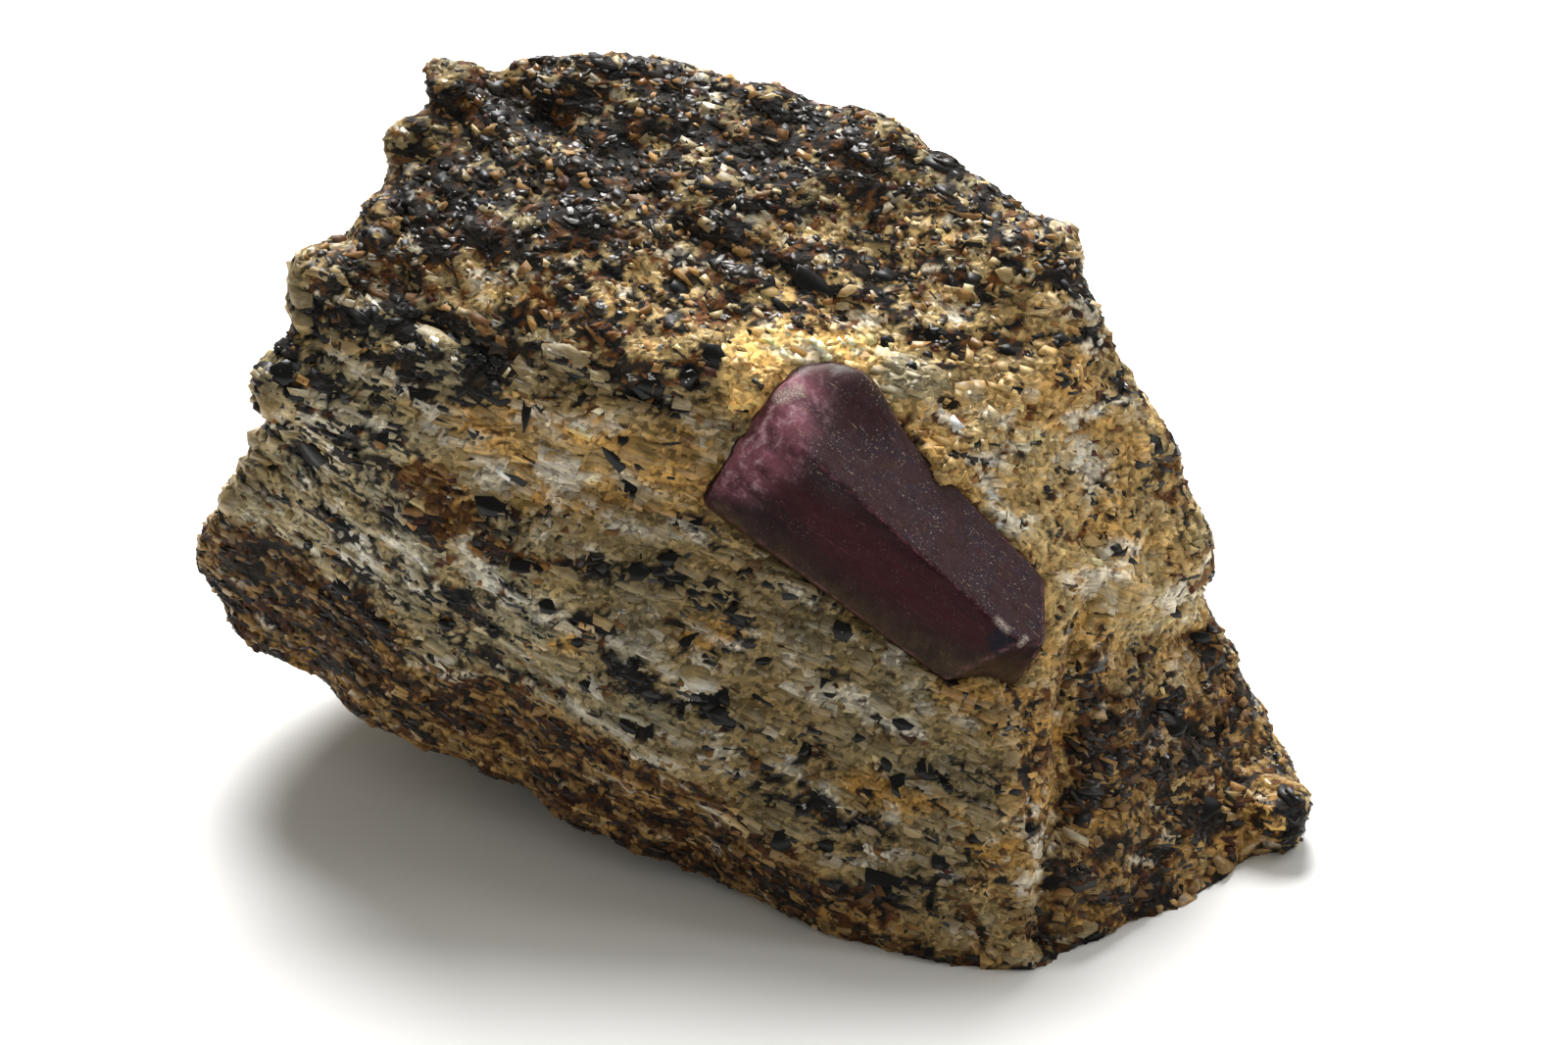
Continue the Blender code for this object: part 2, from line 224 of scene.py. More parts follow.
# Dark crystals that stand alone: where each shows in the picture, its length and width there, and its turn in
# degrees.
DARK_CRYSTALS = [
    (648, 498, 40, 34, 10), (712, 654, 38, 22, 12), (685, 571, 29, 15, 15), (770, 586, 24, 13, 20),
    (650, 583, 26, 18, 30), (538, 578, 46, 13, 12), (500, 516, 34, 24, 20), (558, 618, 20, 15, 50),
    (455, 638, 17, 14, 40), (537, 420, 36, 10, 100), (624, 464, 36, 16, 60), (636, 449, 11, 10, 0),
    (433, 408, 36, 22, 20), (318, 463, 46, 34, 20), (308, 514, 34, 11, 30), (784, 674, 33, 8, 5),
    (845, 703, 24, 16, 40), (861, 645, 24, 17, 35), (822, 765, 15, 15, 0), (921, 739, 23, 13, 20),
    (919, 801, 27, 25, 60), (944, 786, 26, 18, 50), (905, 779, 15, 11, 30), (746, 714, 30, 20, 35),
    (950, 856, 34, 16, 100), (911, 909, 56, 38, 25), (969, 806, 9, 8, 0), (1051, 848, 15, 12, 0),
    # The crystal at (1226, 653) fills a dark pit: partly a black crystal and partly painted shade of the pit.
    (1226, 653, 28, 22, 10), (1192, 737, 50, 32, 20), (1226, 821, 38, 36, 40), (800, 856, 22, 26, 60),
    (843, 863, 17, 17, 0), (828, 292, 46, 30, 30), (705, 388, 20, 20, 0), (665, 394, 28, 22, 20),
    (729, 362, 24, 20, 30), (905, 350, 15, 14, 0), (955, 343, 19, 23, 80), (930, 374, 12, 11, 0),
    (1083, 387, 18, 18, 0), (1029, 357, 16, 13, 20), (1079, 346, 18, 26, 90), (1037, 398, 15, 10, 20),
    (1176, 452, 22, 26, 60), (1138, 461, 11, 10, 0), (1197, 624, 22, 10, 10), (694, 294, 24, 20, 30),
    (1306, 740, 18, 30, 80), (640, 742, 20, 12, 30), (590, 655, 14, 10, 20), (735, 610, 16, 9, 10),
    (876, 752, 14, 9, 20), (600, 700, 22, 12, 30), (1128, 780, 24, 20, 0), (395, 640, 30, 12, 40),
    (352, 600, 26, 14, 35), (290, 380, 24, 34, 70), (365, 330, 30, 26, 20),
]

# Marks on the ruby, in the same pixels: an outline or points along a line, and its soft edge or width.
RUBY_AREAS = {
    "pink": ([(715, 500), (735, 440), (775, 395), (800, 365), (835, 368), (838, 400), (826, 440), (808, 478),
              (765, 505)], 30),
    "glow": ([(780, 478), (850, 515), (900, 545), (960, 585), (1015, 640), (1010, 665), (950, 640), (880, 598),
              (835, 560), (790, 515)], 20),
    "blue": ([(1007, 650), (1022, 637), (1034, 650), (1026, 667), (1010, 664)], 4),
}
RUBY_DULL = ([(828, 400), (860, 390), (900, 450), (900, 505), (870, 515), (845, 508), (818, 470)], 14)
RUBY_LINES = {
    "stain": [
        ([(790, 572), (860, 620), (920, 655), (985, 684), (1050, 696)], 20), ([(735, 520), (790, 572)], 10),
        ([(800, 370), (880, 372), (930, 430), (965, 490)], 9), ([(745, 420), (725, 470)], 8),
    ],
    # These pale marks are partly chipped places and partly painted highlights on the crystal's edges.
    "chips_and_highlights": [
        ([(1018, 633), (1028, 643)], 5.0), ([(1041, 657), (1047, 651)], 4.0), ([(795, 405), (815, 398)], 9),
    ],
}
# Corners where the crystal's wide end stands out: where each is along the crystal's side, ridge and length,
# its width and its height, in millimetres.
CRYSTAL_CORNERS = [((4.1, 2.9, -3.7), 1.5, 1.0), ((3.0, 2.4, -5.2), 1.6, 0.35)]


def direction(heading, rise):
    """The unit vector that looks heading degrees round from -Y and rise degrees above the horizontal."""
    turn, lift = math.radians(heading), math.radians(rise)
    return np.array([math.sin(turn) * math.cos(lift), -math.cos(turn) * math.cos(lift), math.sin(lift)])


def unit(vectors):
    """Each row at length one."""
    return vectors / np.maximum(np.linalg.norm(vectors, axis=-1, keepdims=True), 1e-12)


LAYERS = direction(*LAYERS_LOOK)
STREAKS = unit(np.cross(LAYERS, direction(*FRONT_LOOK)))
FABRIC = np.stack([STREAKS, np.cross(LAYERS, STREAKS), LAYERS])
CAMERA_FORWARD = -direction(0.0, CAMERA_RISE)
CAMERA_RIGHT = np.array([1.0, 0.0, 0.0])
CAMERA_UP = np.cross(CAMERA_RIGHT, CAMERA_FORWARD)
CAMERA_PLACE = np.array(AIM) - CAMERA_FORWARD * CAMERA_DISTANCE


def linear(code):
    """An sRGB hex colour as linear red, green and blue."""
    parts = [int(code[at:at + 2], 16) / 255 for at in (1, 3, 5)]
    return tuple(part / 12.92 if part <= 0.04045 else ((part + 0.055) / 1.055) ** 2.4 for part in parts)


def smooth(share):
    """Ease from 0 to 1 as share goes from 0 to 1."""
    share = np.clip(share, 0.0, 1.0)
    return share * share * (3 - 2 * share)


def lattice(cell, seed):
    """A fixed random number from 0 to 1 for each whole-number cell: its three numbers hashed together."""
    mixed = (cell + 1000).astype(np.uint64) * np.array([73856093, 19349663, 83492791], np.uint64)
    value = mixed[:, 0] ^ mixed[:, 1] ^ mixed[:, 2] ^ np.uint64(seed * 2654435761)
    for factor in (0xFF51AFD7ED558CCD, 0xC4CEB9FE1A85EC53):
        value = (value ^ (value >> np.uint64(33))) * np.uint64(factor)
    return (value >> np.uint64(11)).astype(float) / 2**53


def wander(points, seed):
    """Smooth noise from -1 to 1: the lattice's numbers, eased between the eight corners round each point."""
    cell = np.floor(points).astype(np.int64)
    ease = smooth(points - cell)
    total = np.zeros(len(points))
    for corner in itertools.product((0, 1), repeat=3):
        weight = np.prod(np.where(corner, ease, 1 - ease), axis=1)
        total += weight * lattice(cell + corner, seed)
    return 2 * total - 1


def nearest_grain(points, seed):
    """The nearest of one jittered point per lattice cell: its offset from each point, and its number."""
    base = np.floor(points).astype(np.int64)
    near = np.full(len(points), np.inf)
    offset = np.zeros_like(points)
    number = np.zeros(len(points))
    for step in itertools.product((-1, 0, 1), repeat=3):
        cell = base + step
        centre = cell + np.stack([lattice(cell, seed + axis) for axis in (1, 2, 3)], axis=1)
        gap = np.linalg.norm(points - centre, axis=1)
        closer = gap < near
        near = np.where(closer, gap, near)
        offset[closer] = (points - centre)[closer]
        number = np.where(closer, lattice(cell, seed), number)
    return offset, number


def fabric_place(points):
    """Points in millimetres along the streaks, across them and through the layers, which undulate a little."""
    place = (points @ FABRIC.T) / MM
    bend = np.stack([wander(place / 9.0, SEED + axis) for axis in (31, 32, 33)], axis=1)
    return place + bend * np.array([0.5, 0.5, 1.1])


def picture_place(points):
    """Where points show in the picture: how far right and down, in pixels of its 1600 x 1066."""
    away = points - CAMERA_PLACE
    scale = PICTURE_WIDTH * LENS / SENSOR / (away @ CAMERA_FORWARD)
    return PICTURE_WIDTH / 2 + (away @ CAMERA_RIGHT) * scale, PICTURE_HEIGHT / 2 - (away @ CAMERA_UP) * scale


def edge_distance(x, y, points, closed):
    """How far each pixel place is from a line through points."""
    ends = points[1:] + points[:1] if closed else points[1:]
    gap = np.full(x.shape, np.inf)
    for (ax, ay), (bx, by) in zip(points, ends):
        share = np.clip(((x - ax) * (bx - ax) + (y - ay) * (by - ay)) / ((bx - ax) ** 2 + (by - ay) ** 2), 0, 1)
        gap = np.minimum(gap, np.hypot(x - ax - share * (bx - ax), y - ay - share * (by - ay)))
    return gap


def line_weight(x, y, line, width):
    """1 on a line through the picture, falling off to either side of it."""
    return np.exp(-((edge_distance(x, y, line, False) / width) ** 2))


def inside(x, y, outline, soft):
    """How far inside an outline each pixel place is: 0 outside, 1 inside, eased over the soft edge."""
    odd = np.zeros(x.shape, bool)
    for (ax, ay), (bx, by) in zip(outline, outline[1:] + outline[:1]):
        if ay != by:
            odd ^= ((ay > y) != (by > y)) & (x < ax + (y - ay) * (bx - ax) / (by - ay))
    gap = edge_distance(x, y, outline, True)
    return smooth(0.5 + np.where(odd, gap, -gap) / (2 * soft))


def looks_to_picture(normals):
    """1 where a face looks to the camera, eased to 0 where it turns away."""
    return smooth((normals @ -CAMERA_FORWARD + 0.05) / 0.25)


def rock_fields(points, normals):
    """What the rock is at each point: the fields of AREAS and white.

    The areas and streaks are laid on the faces that look to the picture, with wavy edges. Where a face looks
    away, the same minerals follow the layers.
    """
    place = fabric_place(points)
    band = wander(place / [7.0, 6.0, 1.9], SEED + 1)
    spread = wander(place / [5.0, 5.0, 4.0], SEED + 2)
    field = {
        "dark": 0.33 + 0.26 * band,
        "rust": 0.22 + 0.16 * spread,
        "warm": 0.4 + 0.3 * wander(place / 6.0, SEED + 3),
        "light": 0.7 + 0.1 * band,
        "white": np.zeros(len(points)),
        "sugar": 0.4 + 0.3 * spread,
        "size": np.full(len(points), 0.9),
    }
    shown = looks_to_picture(normals)
    x, y = picture_place(points)
    x = x + 12 * wander(place / 1.6, SEED + 4) + 7 * wander(place / 0.6, SEED + 14)
    y = y + 12 * wander(place / 1.6, SEED + 5) + 7 * wander(place / 0.6, SEED + 15)
    for outline, soft, values in AREAS.values():
        weight = shown * inside(x, y, outline, soft)
        for name, value in zip(AREA_FIELDS, values):
            field[name] = field[name] * (1 - weight) + value * weight
    for name, (strength, lines) in STREAK_LINES.items():
        for line, width in lines:
            field[name] = np.maximum(field[name], strength * (shown * line_weight(x, y, line, width)))
    clump = wander(place / [2.2, 1.7, 0.6], SEED + 6) + 0.5 * wander(place / [0.9, 0.7, 0.35], SEED + 7)
    spread = np.sqrt(np.clip(field["dark"] * (1 - field["dark"]), 0, 1))
    fine = np.clip(field["size"] / 0.9, 0, 1)
    field["dark"] = np.clip(field["dark"] + 1.2 * fine * spread * clump, 0, 0.97)
    return field


def add_node(tree, kind, inputs=None, output=0, **settings):
    """Add one shader node and give one of its outputs, if it has any.

    Settings are the node's own properties, and each input takes a value or another node's output.
    """
    made = tree.nodes.new("ShaderNode" + kind)
    for name, value in settings.items():
        setattr(made, name, value)
    for name, value in (inputs or {}).items():
        if isinstance(value, bpy.types.NodeSocket):
            tree.links.new(value, made.inputs[name])
        else:
            made.inputs[name].default_value = value
    return made.outputs[output] if made.outputs else None


def new_material(name):
    """An empty node material and its tree."""
    made = bpy.data.materials.new(name)
    made.use_nodes = True
    made.node_tree.nodes.clear()
    return made, made.node_tree


def quad_object(name, points, quads, material):
    """An object at the origin from arrays of points and of four-cornered faces."""
    mesh = bpy.data.meshes.new(name)
    mesh.vertices.add(len(points))
    mesh.vertices.foreach_set("co", np.ascontiguousarray(points, np.float32).ravel())
    mesh.loops.add(quads.size)
    mesh.loops.foreach_set("vertex_index", np.ascontiguousarray(quads, np.int32).ravel())
    mesh.polygons.add(len(quads))
    mesh.polygons.foreach_set("loop_start", np.arange(0, quads.size, 4, dtype=np.int32))
    mesh.update(calc_edges=True)
    mesh.validate()
    made = bpy.data.objects.new(name, mesh)
    bpy.context.scene.collection.objects.link(made)
    mesh.materials.append(material)
    return made


def store(piece, name, values):
    """Keep one number, or one colour or vector, for each vertex of a piece."""
    kinds = {1: ("FLOAT", "value"), 3: ("FLOAT_VECTOR", "vector"), 4: ("FLOAT_COLOR", "color")}
    kind, field = kinds[values.shape[1]]
    kept = piece.data.attributes.new(name, kind, "POINT")
    kept.data.foreach_set(field, np.ascontiguousarray(values, np.float32).ravel())


def surface_arrays(piece):
    """A piece's points, point normals and four-cornered faces as arrays."""
    mesh = piece.data
    points = np.empty(len(mesh.vertices) * 3)
    mesh.vertices.foreach_get("co", points)
    normals = np.empty(len(mesh.vertices) * 3)
    mesh.vertices.foreach_get("normal", normals)
    corners = np.empty(len(mesh.loops), np.int32)
    mesh.loops.foreach_get("vertex_index", corners)
    return points.reshape(-1, 3), normals.reshape(-1, 3), corners.reshape(-1, 4)


def eased_normals(normals, quads, rounds):
    """Normals averaged with those at the other corners of each face, several rounds."""
    for _ in range(rounds):
        total = normals.copy()
        middle = normals[quads].sum(axis=1)
        for column in range(4):
            np.add.at(total, quads[:, column], middle)
        normals = unit(total)
    return normals


def crystal_frame():
    """The ruby's middle and axes from its CAD node: side, ridge and along, which runs to its narrow end."""
    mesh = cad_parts["ruby_crystal"].data
    points = np.array([vertex.co for vertex in mesh.vertices])
    along = direction(*RUBY_AXIS)
    ridge = direction(*RUBY_RIDGE_LOOK)
    ridge = unit(ridge - along * (ridge @ along))
    return (points.min(axis=0) + points.max(axis=0)) / 2, np.stack([np.cross(ridge, along), ridge, along])


def crystal_faces():
    """The flat faces of the ruby's CAD node, each once: outward normals and distances from its middle."""
    middle, _ = crystal_frame()
    normals, reach = [], []
    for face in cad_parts["ruby_crystal"].data.polygons:
        normal = np.array(face.normal)
        if face.area > 1e-9 and all(normal @ other < 0.9995 for other in normals):
            normals.append(normal)
            reach.append((np.array(face.center) - middle) @ normal)
    return np.array(normals), np.array(reach)


def crystal_distance(points):
    """How far points lie outside the ruby's faces, negative inside it, and the face that is nearest."""
    middle, _ = crystal_frame()
    normals, reach = crystal_faces()
    gap = (points - middle) @ normals.T - reach
    face = gap.argmax(axis=1)
    return gap.max(axis=1), normals[face]


def merged_copy(node):
    """A bmesh copy of a CAD node with its loose triangles merged."""
    made = bmesh.new()
    made.from_mesh(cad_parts[node].data)
    bmesh.ops.remove_doubles(made, verts=made.verts, dist=1e-6)
    return made


def groove_depth(points, normals):
    """How deep the grooves are at each point, in millimetres, where the face looks to the picture."""
    x, y = picture_place(points)
    depth = np.zeros(len(points))
    for line, width, deep in GROOVES:
        depth += deep * line_weight(x, y, line, width)
    return depth * looks_to_picture(normals)


def make_skin(settings):
    """The rock's skin: the CAD rock and crystal as one body, remeshed finely and given a broken rock's relief.

    Each point moves along its normal by its grain's own height and slope, plus noise. Under the crystal the
    skin sinks, so that the crystal closes it.
    """
    joined = merged_copy("matrix")
    ruby = bpy.data.meshes.new("ruby_copy")
    crystal = merged_copy("ruby_crystal")
    crystal.to_mesh(ruby)
    crystal.free()
    joined.from_mesh(ruby)
    bpy.data.meshes.remove(ruby)
    mesh = bpy.data.meshes.new("gneiss_skin")
    joined.to_mesh(mesh)
    joined.free()
    skin = bpy.data.objects.new("gneiss_skin", mesh)
    bpy.context.scene.collection.objects.link(skin)
    remesh = skin.modifiers.new("skin", "REMESH")
    remesh.mode = "VOXEL"
    remesh.voxel_size = settings.skin_spacing
    bpy.context.view_layer.update()
    fine = bpy.data.meshes.new_from_object(skin.evaluated_get(bpy.context.evaluated_depsgraph_get()))
    skin.modifiers.clear()
    skin.data = fine
    fine.name = "gneiss_skin"
    points, normals, quads = surface_arrays(skin)
    calm = eased_normals(normals, quads, 4)
    place = fabric_place(points)
    # Each grain's own height and slope, in millimetres.
    offset, number = nearest_grain(place / [1.5, 1.0, 0.7], SEED + 40)
    slope = np.cos(number[:, None] * np.array([17.0, 29.0, 41.0]) * 6.28)
    relief = 0.16 * (number - 0.5) + 0.08 * (offset * slope).sum(axis=1)
    # Steps where the layers break, 1.7 mm apart, and grit.
    layer = place[:, 2] / 1.7 + 0.8 * wander(place / [5.0, 4.0, 3.0], SEED + 43)
    relief += 0.14 * (layer % 1.0 - 0.5) + 0.06 * wander(place / 0.45, SEED + 42)
    # Hollows and swells 2 to 5 mm wide.
    relief += 0.20 * wander(place / [3.0, 2.4, 1.6], SEED + 41)
    relief += 0.30 * wander(place / [5.5, 5.0, 3.5], SEED + 44)
    relief -= groove_depth(points, calm)
    gap, _ = crystal_distance(points)
    near = smooth(1 - gap / (RUBY_MARGIN * MM))
    relief = relief * (1 - near) - RUBY_SINK * near
    # The relief fades out towards the floor, so that the block still rests on it.
    base = smooth(points[:, 2] / (BASE_FADE * MM))
    points = points + calm * (relief * base * MM)[:, None]
    points[:, 2] = np.maximum(points[:, 2], 0.0)
    fine.vertices.foreach_set("co", points.astype(np.float32).ravel())
    fine.update()
    field = rock_fields(points, calm)
    _, number = nearest_grain(place / [0.65, 0.5, 0.35], SEED + 50)
    store(skin, "tint", rock_tint(settings, field, number, place))
    fine.materials.clear()
    fine.materials.append(groundmass_material())
    return skin


def rock_tint(settings, field, number, place):
    """The rock's colour at each point: dark, rusty or pale by its grain's number, and lighter or darker."""
    dark = number < field["dark"]
    rusty = ~dark & (number < field["dark"] + field["rust"])
    pale = pale_tint(settings, field, place)
    brown = smooth(0.3 + field["rust"] + 0.8 * wander(place / 0.7, SEED + 63))[:, None]
    black = np.array(settings.mica) * (1 - brown) + np.array(settings.brown_mica) * brown
    colour = np.where(dark[:, None], black * field["light"][:, None] * 1.3, pale)
    colour = np.where(rusty[:, None], np.array(settings.rust) * field["light"][:, None], colour)
    return np.column_stack([colour, np.ones(len(colour))])


def pale_tint(settings, field, place):
    """Pale grains from grey to cream to yellow by warmth, in streaks whiter or clearer than the rest."""
    warm = np.clip(field["warm"] + 0.30 * wander(place / [2.2, 1.4, 0.9], SEED + 60), 0, 1)[:, None]
    grey, cream, yellow = (np.array(colour) for colour in (settings.feldspar, settings.cream, settings.yellow))
    colour = np.where(warm < 0.5, grey + (cream - grey) * warm * 2, cream + (yellow - cream) * (warm * 2 - 1))
    patch = wander(place / [3.0, 1.8, 0.8], SEED + 61)
    fibre = wander(place / [1.1, 0.5, 0.3], SEED + 62)
    white = 0.75 * smooth((patch + 0.9 * fibre + 0.9 * field["white"] - 0.45) / 0.6)[:, None]
    colour = colour * (1 + 0.30 * patch + 0.32 * fibre)[:, None]
    light = field["light"][:, None]
    return colour * (1 - white) * light + np.array(settings.white_streak) * white * np.sqrt(light)


def groundmass_material():
    """Gneiss groundmass, freshly broken: minerals too fine to stand alone, matt with a little sparkle.

    Specks of about 0.2 mm keep each patch of colour from looking painted, and a bump of 0.1 mm grain makes it
    dull.
    """
    made, tree = new_material("gneiss_groundmass")
    place = add_node(tree, "TexCoord", output="Object")
    tint = add_node(tree, "Attribute", output="Color", attribute_name="tint")
    specks = add_node(tree, "TexVoronoi", {"Vector": place, "Scale": 4500.0}, "Color")
    speck = add_node(tree, "SeparateColor", {"Color": specks}, "Red")
    level = add_node(tree, "MapRange", {"Value": speck, "To Min": 0.3, "To Max": 1.35})
    colour = add_node(tree, "Mix", {0: 1.0, 6: tint, 7: level}, 2, data_type="RGBA", blend_type="MULTIPLY")
    rough = add_node(tree, "TexNoise", {"Vector": place, "Scale": 9000.0, "Detail": 3.0})
    bump = add_node(tree, "Bump", {"Height": rough, "Strength": 0.6, "Distance": 0.06 * MM})
    shader = add_node(tree, "BsdfPrincipled", {
        "Base Color": colour, "Roughness": 0.75, "Specular IOR Level": 0.2, "Normal": bump,
    })
    add_node(tree, "OutputMaterial", {"Surface": shader})
    return made


def scatter(count, rng):
    """Random places spread evenly over the rock's skin, with the eased normals there."""
    points, normals, quads = surface_arrays(bpy.data.objects["gneiss_skin"])
    normals = eased_normals(normals, quads, 5)
    corners = points[quads]
    area = np.linalg.norm(np.cross(corners[:, 2] - corners[:, 0], corners[:, 3] - corners[:, 1]), axis=1) / 2
    reach = np.cumsum(area)
    face = np.searchsorted(reach, rng.uniform(0, reach[-1], count))
    share = rng.uniform(0, 1, (count, 2))
    weight = np.stack([
        (1 - share[:, 0]) * (1 - share[:, 1]), share[:, 0] * (1 - share[:, 1]),
        share[:, 0] * share[:, 1], (1 - share[:, 0]) * share[:, 1],
    ], axis=1)[:, :, None]
    return (corners[face] * weight).sum(axis=1), unit((normals[quads[face]] * weight).sum(axis=1))


def spaced(places, spacing):
    """One place out of each cube of the spacing."""
    _, kept = np.unique(np.floor(places / spacing).astype(np.int64), axis=0, return_index=True)
    return np.sort(kept)


def seeds(kind, spacing, seed):
    """Places and normals on the skin for one kind of grain, its numbers, and the rock's fields there.

    Every grain place draws a number from 0 to 1, and the rock's shares there say which kind the number means.
    """
    rng = np.random.default_rng(SEED + seed)
    places, normals = scatter(int(SCATTER_AREA / spacing**2), rng)
    kept = spaced(places, spacing)
    places, normals = places[kept], normals[kept]
    draw = rng.uniform(0, 1, len(places))
    field = rock_fields(places, normals)
    lot = np.where(draw < field["dark"], 0, np.where(draw < field["dark"] + field["rust"], 1, 2))
    gap, _ = crystal_distance(places)
    on_base = (places[:, 2] < 0.2 * MM) & (normals[:, 2] < -0.7)
    chosen = (lot == ["dark", "rusty", "pale"].index(kind)) & (gap > 0.35 * spacing) & ~on_base
    return places[chosen], normals[chosen], {name: values[chosen] for name, values in field.items()}, rng


def grain_axes(up, along, rng, loose):
    """Each grain's own axes, along, across and up, turned a little at random."""
    up = unit(up + rng.normal(0, loose, up.shape))
    along = along + rng.normal(0, loose, up.shape)
    along = unit(along - up * (along * up).sum(axis=1, keepdims=True))
    return np.stack([along, np.cross(up, along), up], axis=1)


def sink(places, normals, axes, halves, proud):
    """Move each grain's middle in along the rock's normal, so that it stands just so proud of the skin."""
    reach = (np.abs(np.einsum("nkj,nj->nk", axes, normals)) * halves).sum(axis=1)
    return places - normals * (reach - proud)[:, None]


def prism_grains(middles, axes, halves, columns, rings, uneven, lean, rng):
    """Closed prisms: angle round the grain times height up it, for every grain at once.

    A corner's radius is its ring's spread times its column's random reach. Upper rings lean by a random slope,
    so their faces stay flat. Columns are 4 or 6, so that all the faces have four corners.
    """
    count = len(middles)
    turn = (np.arange(columns) + 0.5 + rng.uniform(-0.25, 0.25, (count, columns))) * (2 * np.pi / columns)
    # The corners reach further than the flat sides do, by more on four columns than on six.
    reach = rng.uniform(1 - uneven, 1 + uneven, (count, columns)) * (1.35 if columns == 4 else 1.1)
    ring = np.stack([np.cos(turn) * reach, np.sin(turn) * reach], axis=2)
    slope = (ring * rng.normal(0, lean, (count, 1, 2))).sum(axis=2)
    local = np.empty((count, len(rings), columns, 3))
    for row, (height, spread) in enumerate(rings):
        local[:, row, :, :2] = ring * spread
        local[:, row, :, 2] = height + slope * (height > 0)
    local *= halves[:, None, None, :]
    points = middles[:, None, None, :] + np.einsum("nrck,nkj->nrcj", local, axes)
    across = np.arange(columns)
    following = (across + 1) % columns
    walls = [
        np.stack([row * columns + across, row * columns + following,
                  (row + 1) * columns + following, (row + 1) * columns + across], axis=1)
        for row in range(len(rings) - 1)
    ]
    top = (len(rings) - 1) * columns
    caps = [[top, top + 1, top + 2, top + 3], [3, 2, 1, 0]]
    if columns == 6:
        caps += [[top, top + 3, top + 4, top + 5], [5, 4, 3, 0]]
    faces = np.concatenate([*walls, np.array(caps)])
    each = len(rings) * columns
    quads = faces[None] + (np.arange(count) * each)[:, None, None]
    return points.reshape(-1, 3), quads.reshape(-1, 4), each


def keep_clear(points):
    """Keep grain corners out of the crystal and off the floor, but for those deep inside, which don't show."""
    gap, facing = crystal_distance(points)
    points = points + facing * np.maximum(CRYSTAL_GAP - gap, 0)[:, None] * (gap > -1.2 * MM)[:, None]
    points[:, 2] = np.maximum(points[:, 2], FLOOR_GAP)
    return points


def grain_piece(
    name, middles, axes, halves, columns, rings, uneven, lean, rng, tint, material, corner_tint=None
):
    """One piece of many grains, with each grain's colour kept at its corners.

    corner_tint gives the colour at each corner, which each grain's own tint then multiplies.
    """
    points, quads, each = prism_grains(middles, axes, halves, columns, rings, uneven, lean, rng)
    points = keep_clear(points)
    piece = quad_object(name, points, quads, material)
    colour = np.repeat(tint, each, axis=0)
    if corner_tint:
        colour = np.clip(colour * corner_tint(points, each), 0, 0.9)
    store(piece, "tint", np.column_stack([colour, np.ones(len(colour))]))
    store(piece, "lot", np.repeat(rng.uniform(0, 1, (len(tint), 1)), each, axis=0))
    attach(piece, "root")
    return piece


def streak_along(normals):
    """The way that the layers run across a face with each normal."""
    trace = np.cross(LAYERS, normals)
    trace = trace * np.sign(trace @ STREAKS)[:, None]
    return trace + 0.25 * STREAKS


def grain_material(name, rough, shine, bump_depth, translucent, stripes, gleam):
    """A broken mineral: its grain's tint, streaked along the rock's fabric, with fine steps on its faces.

    Streaks run 2 mm long and 0.1 to 0.3 mm wide, between the two stripes' shares of the tint, with specks of
    0.2 mm. A grain in four is a clean cleavage face, which has the roughness of shine and glints.
    """
    made, tree = new_material(name)
    place = add_node(tree, "TexCoord", output="Object")
    turn = Matrix(FABRIC.tolist()).to_euler()
    along = add_node(tree, "Mapping", {"Vector": place, "Rotation": turn}, vector_type="POINT")
    thin = add_node(tree, "Mapping", {"Vector": along, "Scale": (0.35, 2.0, 5.0)})
    tint = add_node(tree, "Attribute", output="Color", attribute_name="tint")
    lot = add_node(tree, "Attribute", output="Fac", attribute_name="lot")
    streak = add_node(tree, "TexNoise", {"Vector": thin, "Scale": 1500.0, "Detail": 4.0, "Roughness": 0.65})
    level = add_node(tree, "MapRange", {
        "Value": streak, "From Min": 0.3, "From Max": 0.7, "To Min": stripes[0], "To Max": stripes[1],
    })
    specks = add_node(tree, "TexVoronoi", {"Vector": along, "Scale": 5200.0}, "Color")
    speck = add_node(tree, "SeparateColor", {"Color": specks}, "Red")
    value = add_node(tree, "MapRange", {"Value": speck, "To Min": 0.82, "To Max": 1.12})
    colour = tint
    for factor in (level, value):
        colour = add_node(tree, "Mix", {0: 1.0, 6: colour, 7: factor}, 2, data_type="RGBA",
                          blend_type="MULTIPLY")
    gloss = add_node(tree, "MapRange", {
        "Value": lot, "From Min": 0.72, "From Max": 0.85, "To Min": rough, "To Max": shine,
    })
    fine = add_node(tree, "TexNoise", {"Vector": thin, "Scale": 3200.0, "Detail": 5.0, "Roughness": 0.7})
    bump = add_node(tree, "Bump", {"Height": fine, "Strength": 0.5, "Distance": bump_depth})
    shader = add_node(tree, "BsdfPrincipled", {
        "Base Color": colour, "Roughness": gloss, "Specular IOR Level": gleam, "Normal": bump,
        "Subsurface Weight": translucent, "Subsurface Radius": (1.0, 0.8, 0.5), "Subsurface Scale": 0.5 * MM,
    })
    add_node(tree, "OutputMaterial", {"Surface": shader})
    return made


# The grains' profiles: rings of height and spread from bottom to top, in shares of a grain's half height and
# width.
CHAMFERED = [(-1.0, 0.9), (0.5, 1.0), (1.0, 0.7)]
PLATE = [(-1.0, 1.0), (1.0, 0.97)]
BROKEN = [(-1.0, 0.95), (0.8, 1.0), (1.0, 0.92)]


def grain_halves(size, spread, count, rng):
    """Half the length, width and height of each grain, about a size in millimetres, in metres."""
    return np.array(size) / 2 * MM * rng.lognormal(0, spread, (count, 1)) * rng.uniform(0.8, 1.25, (count, 3))


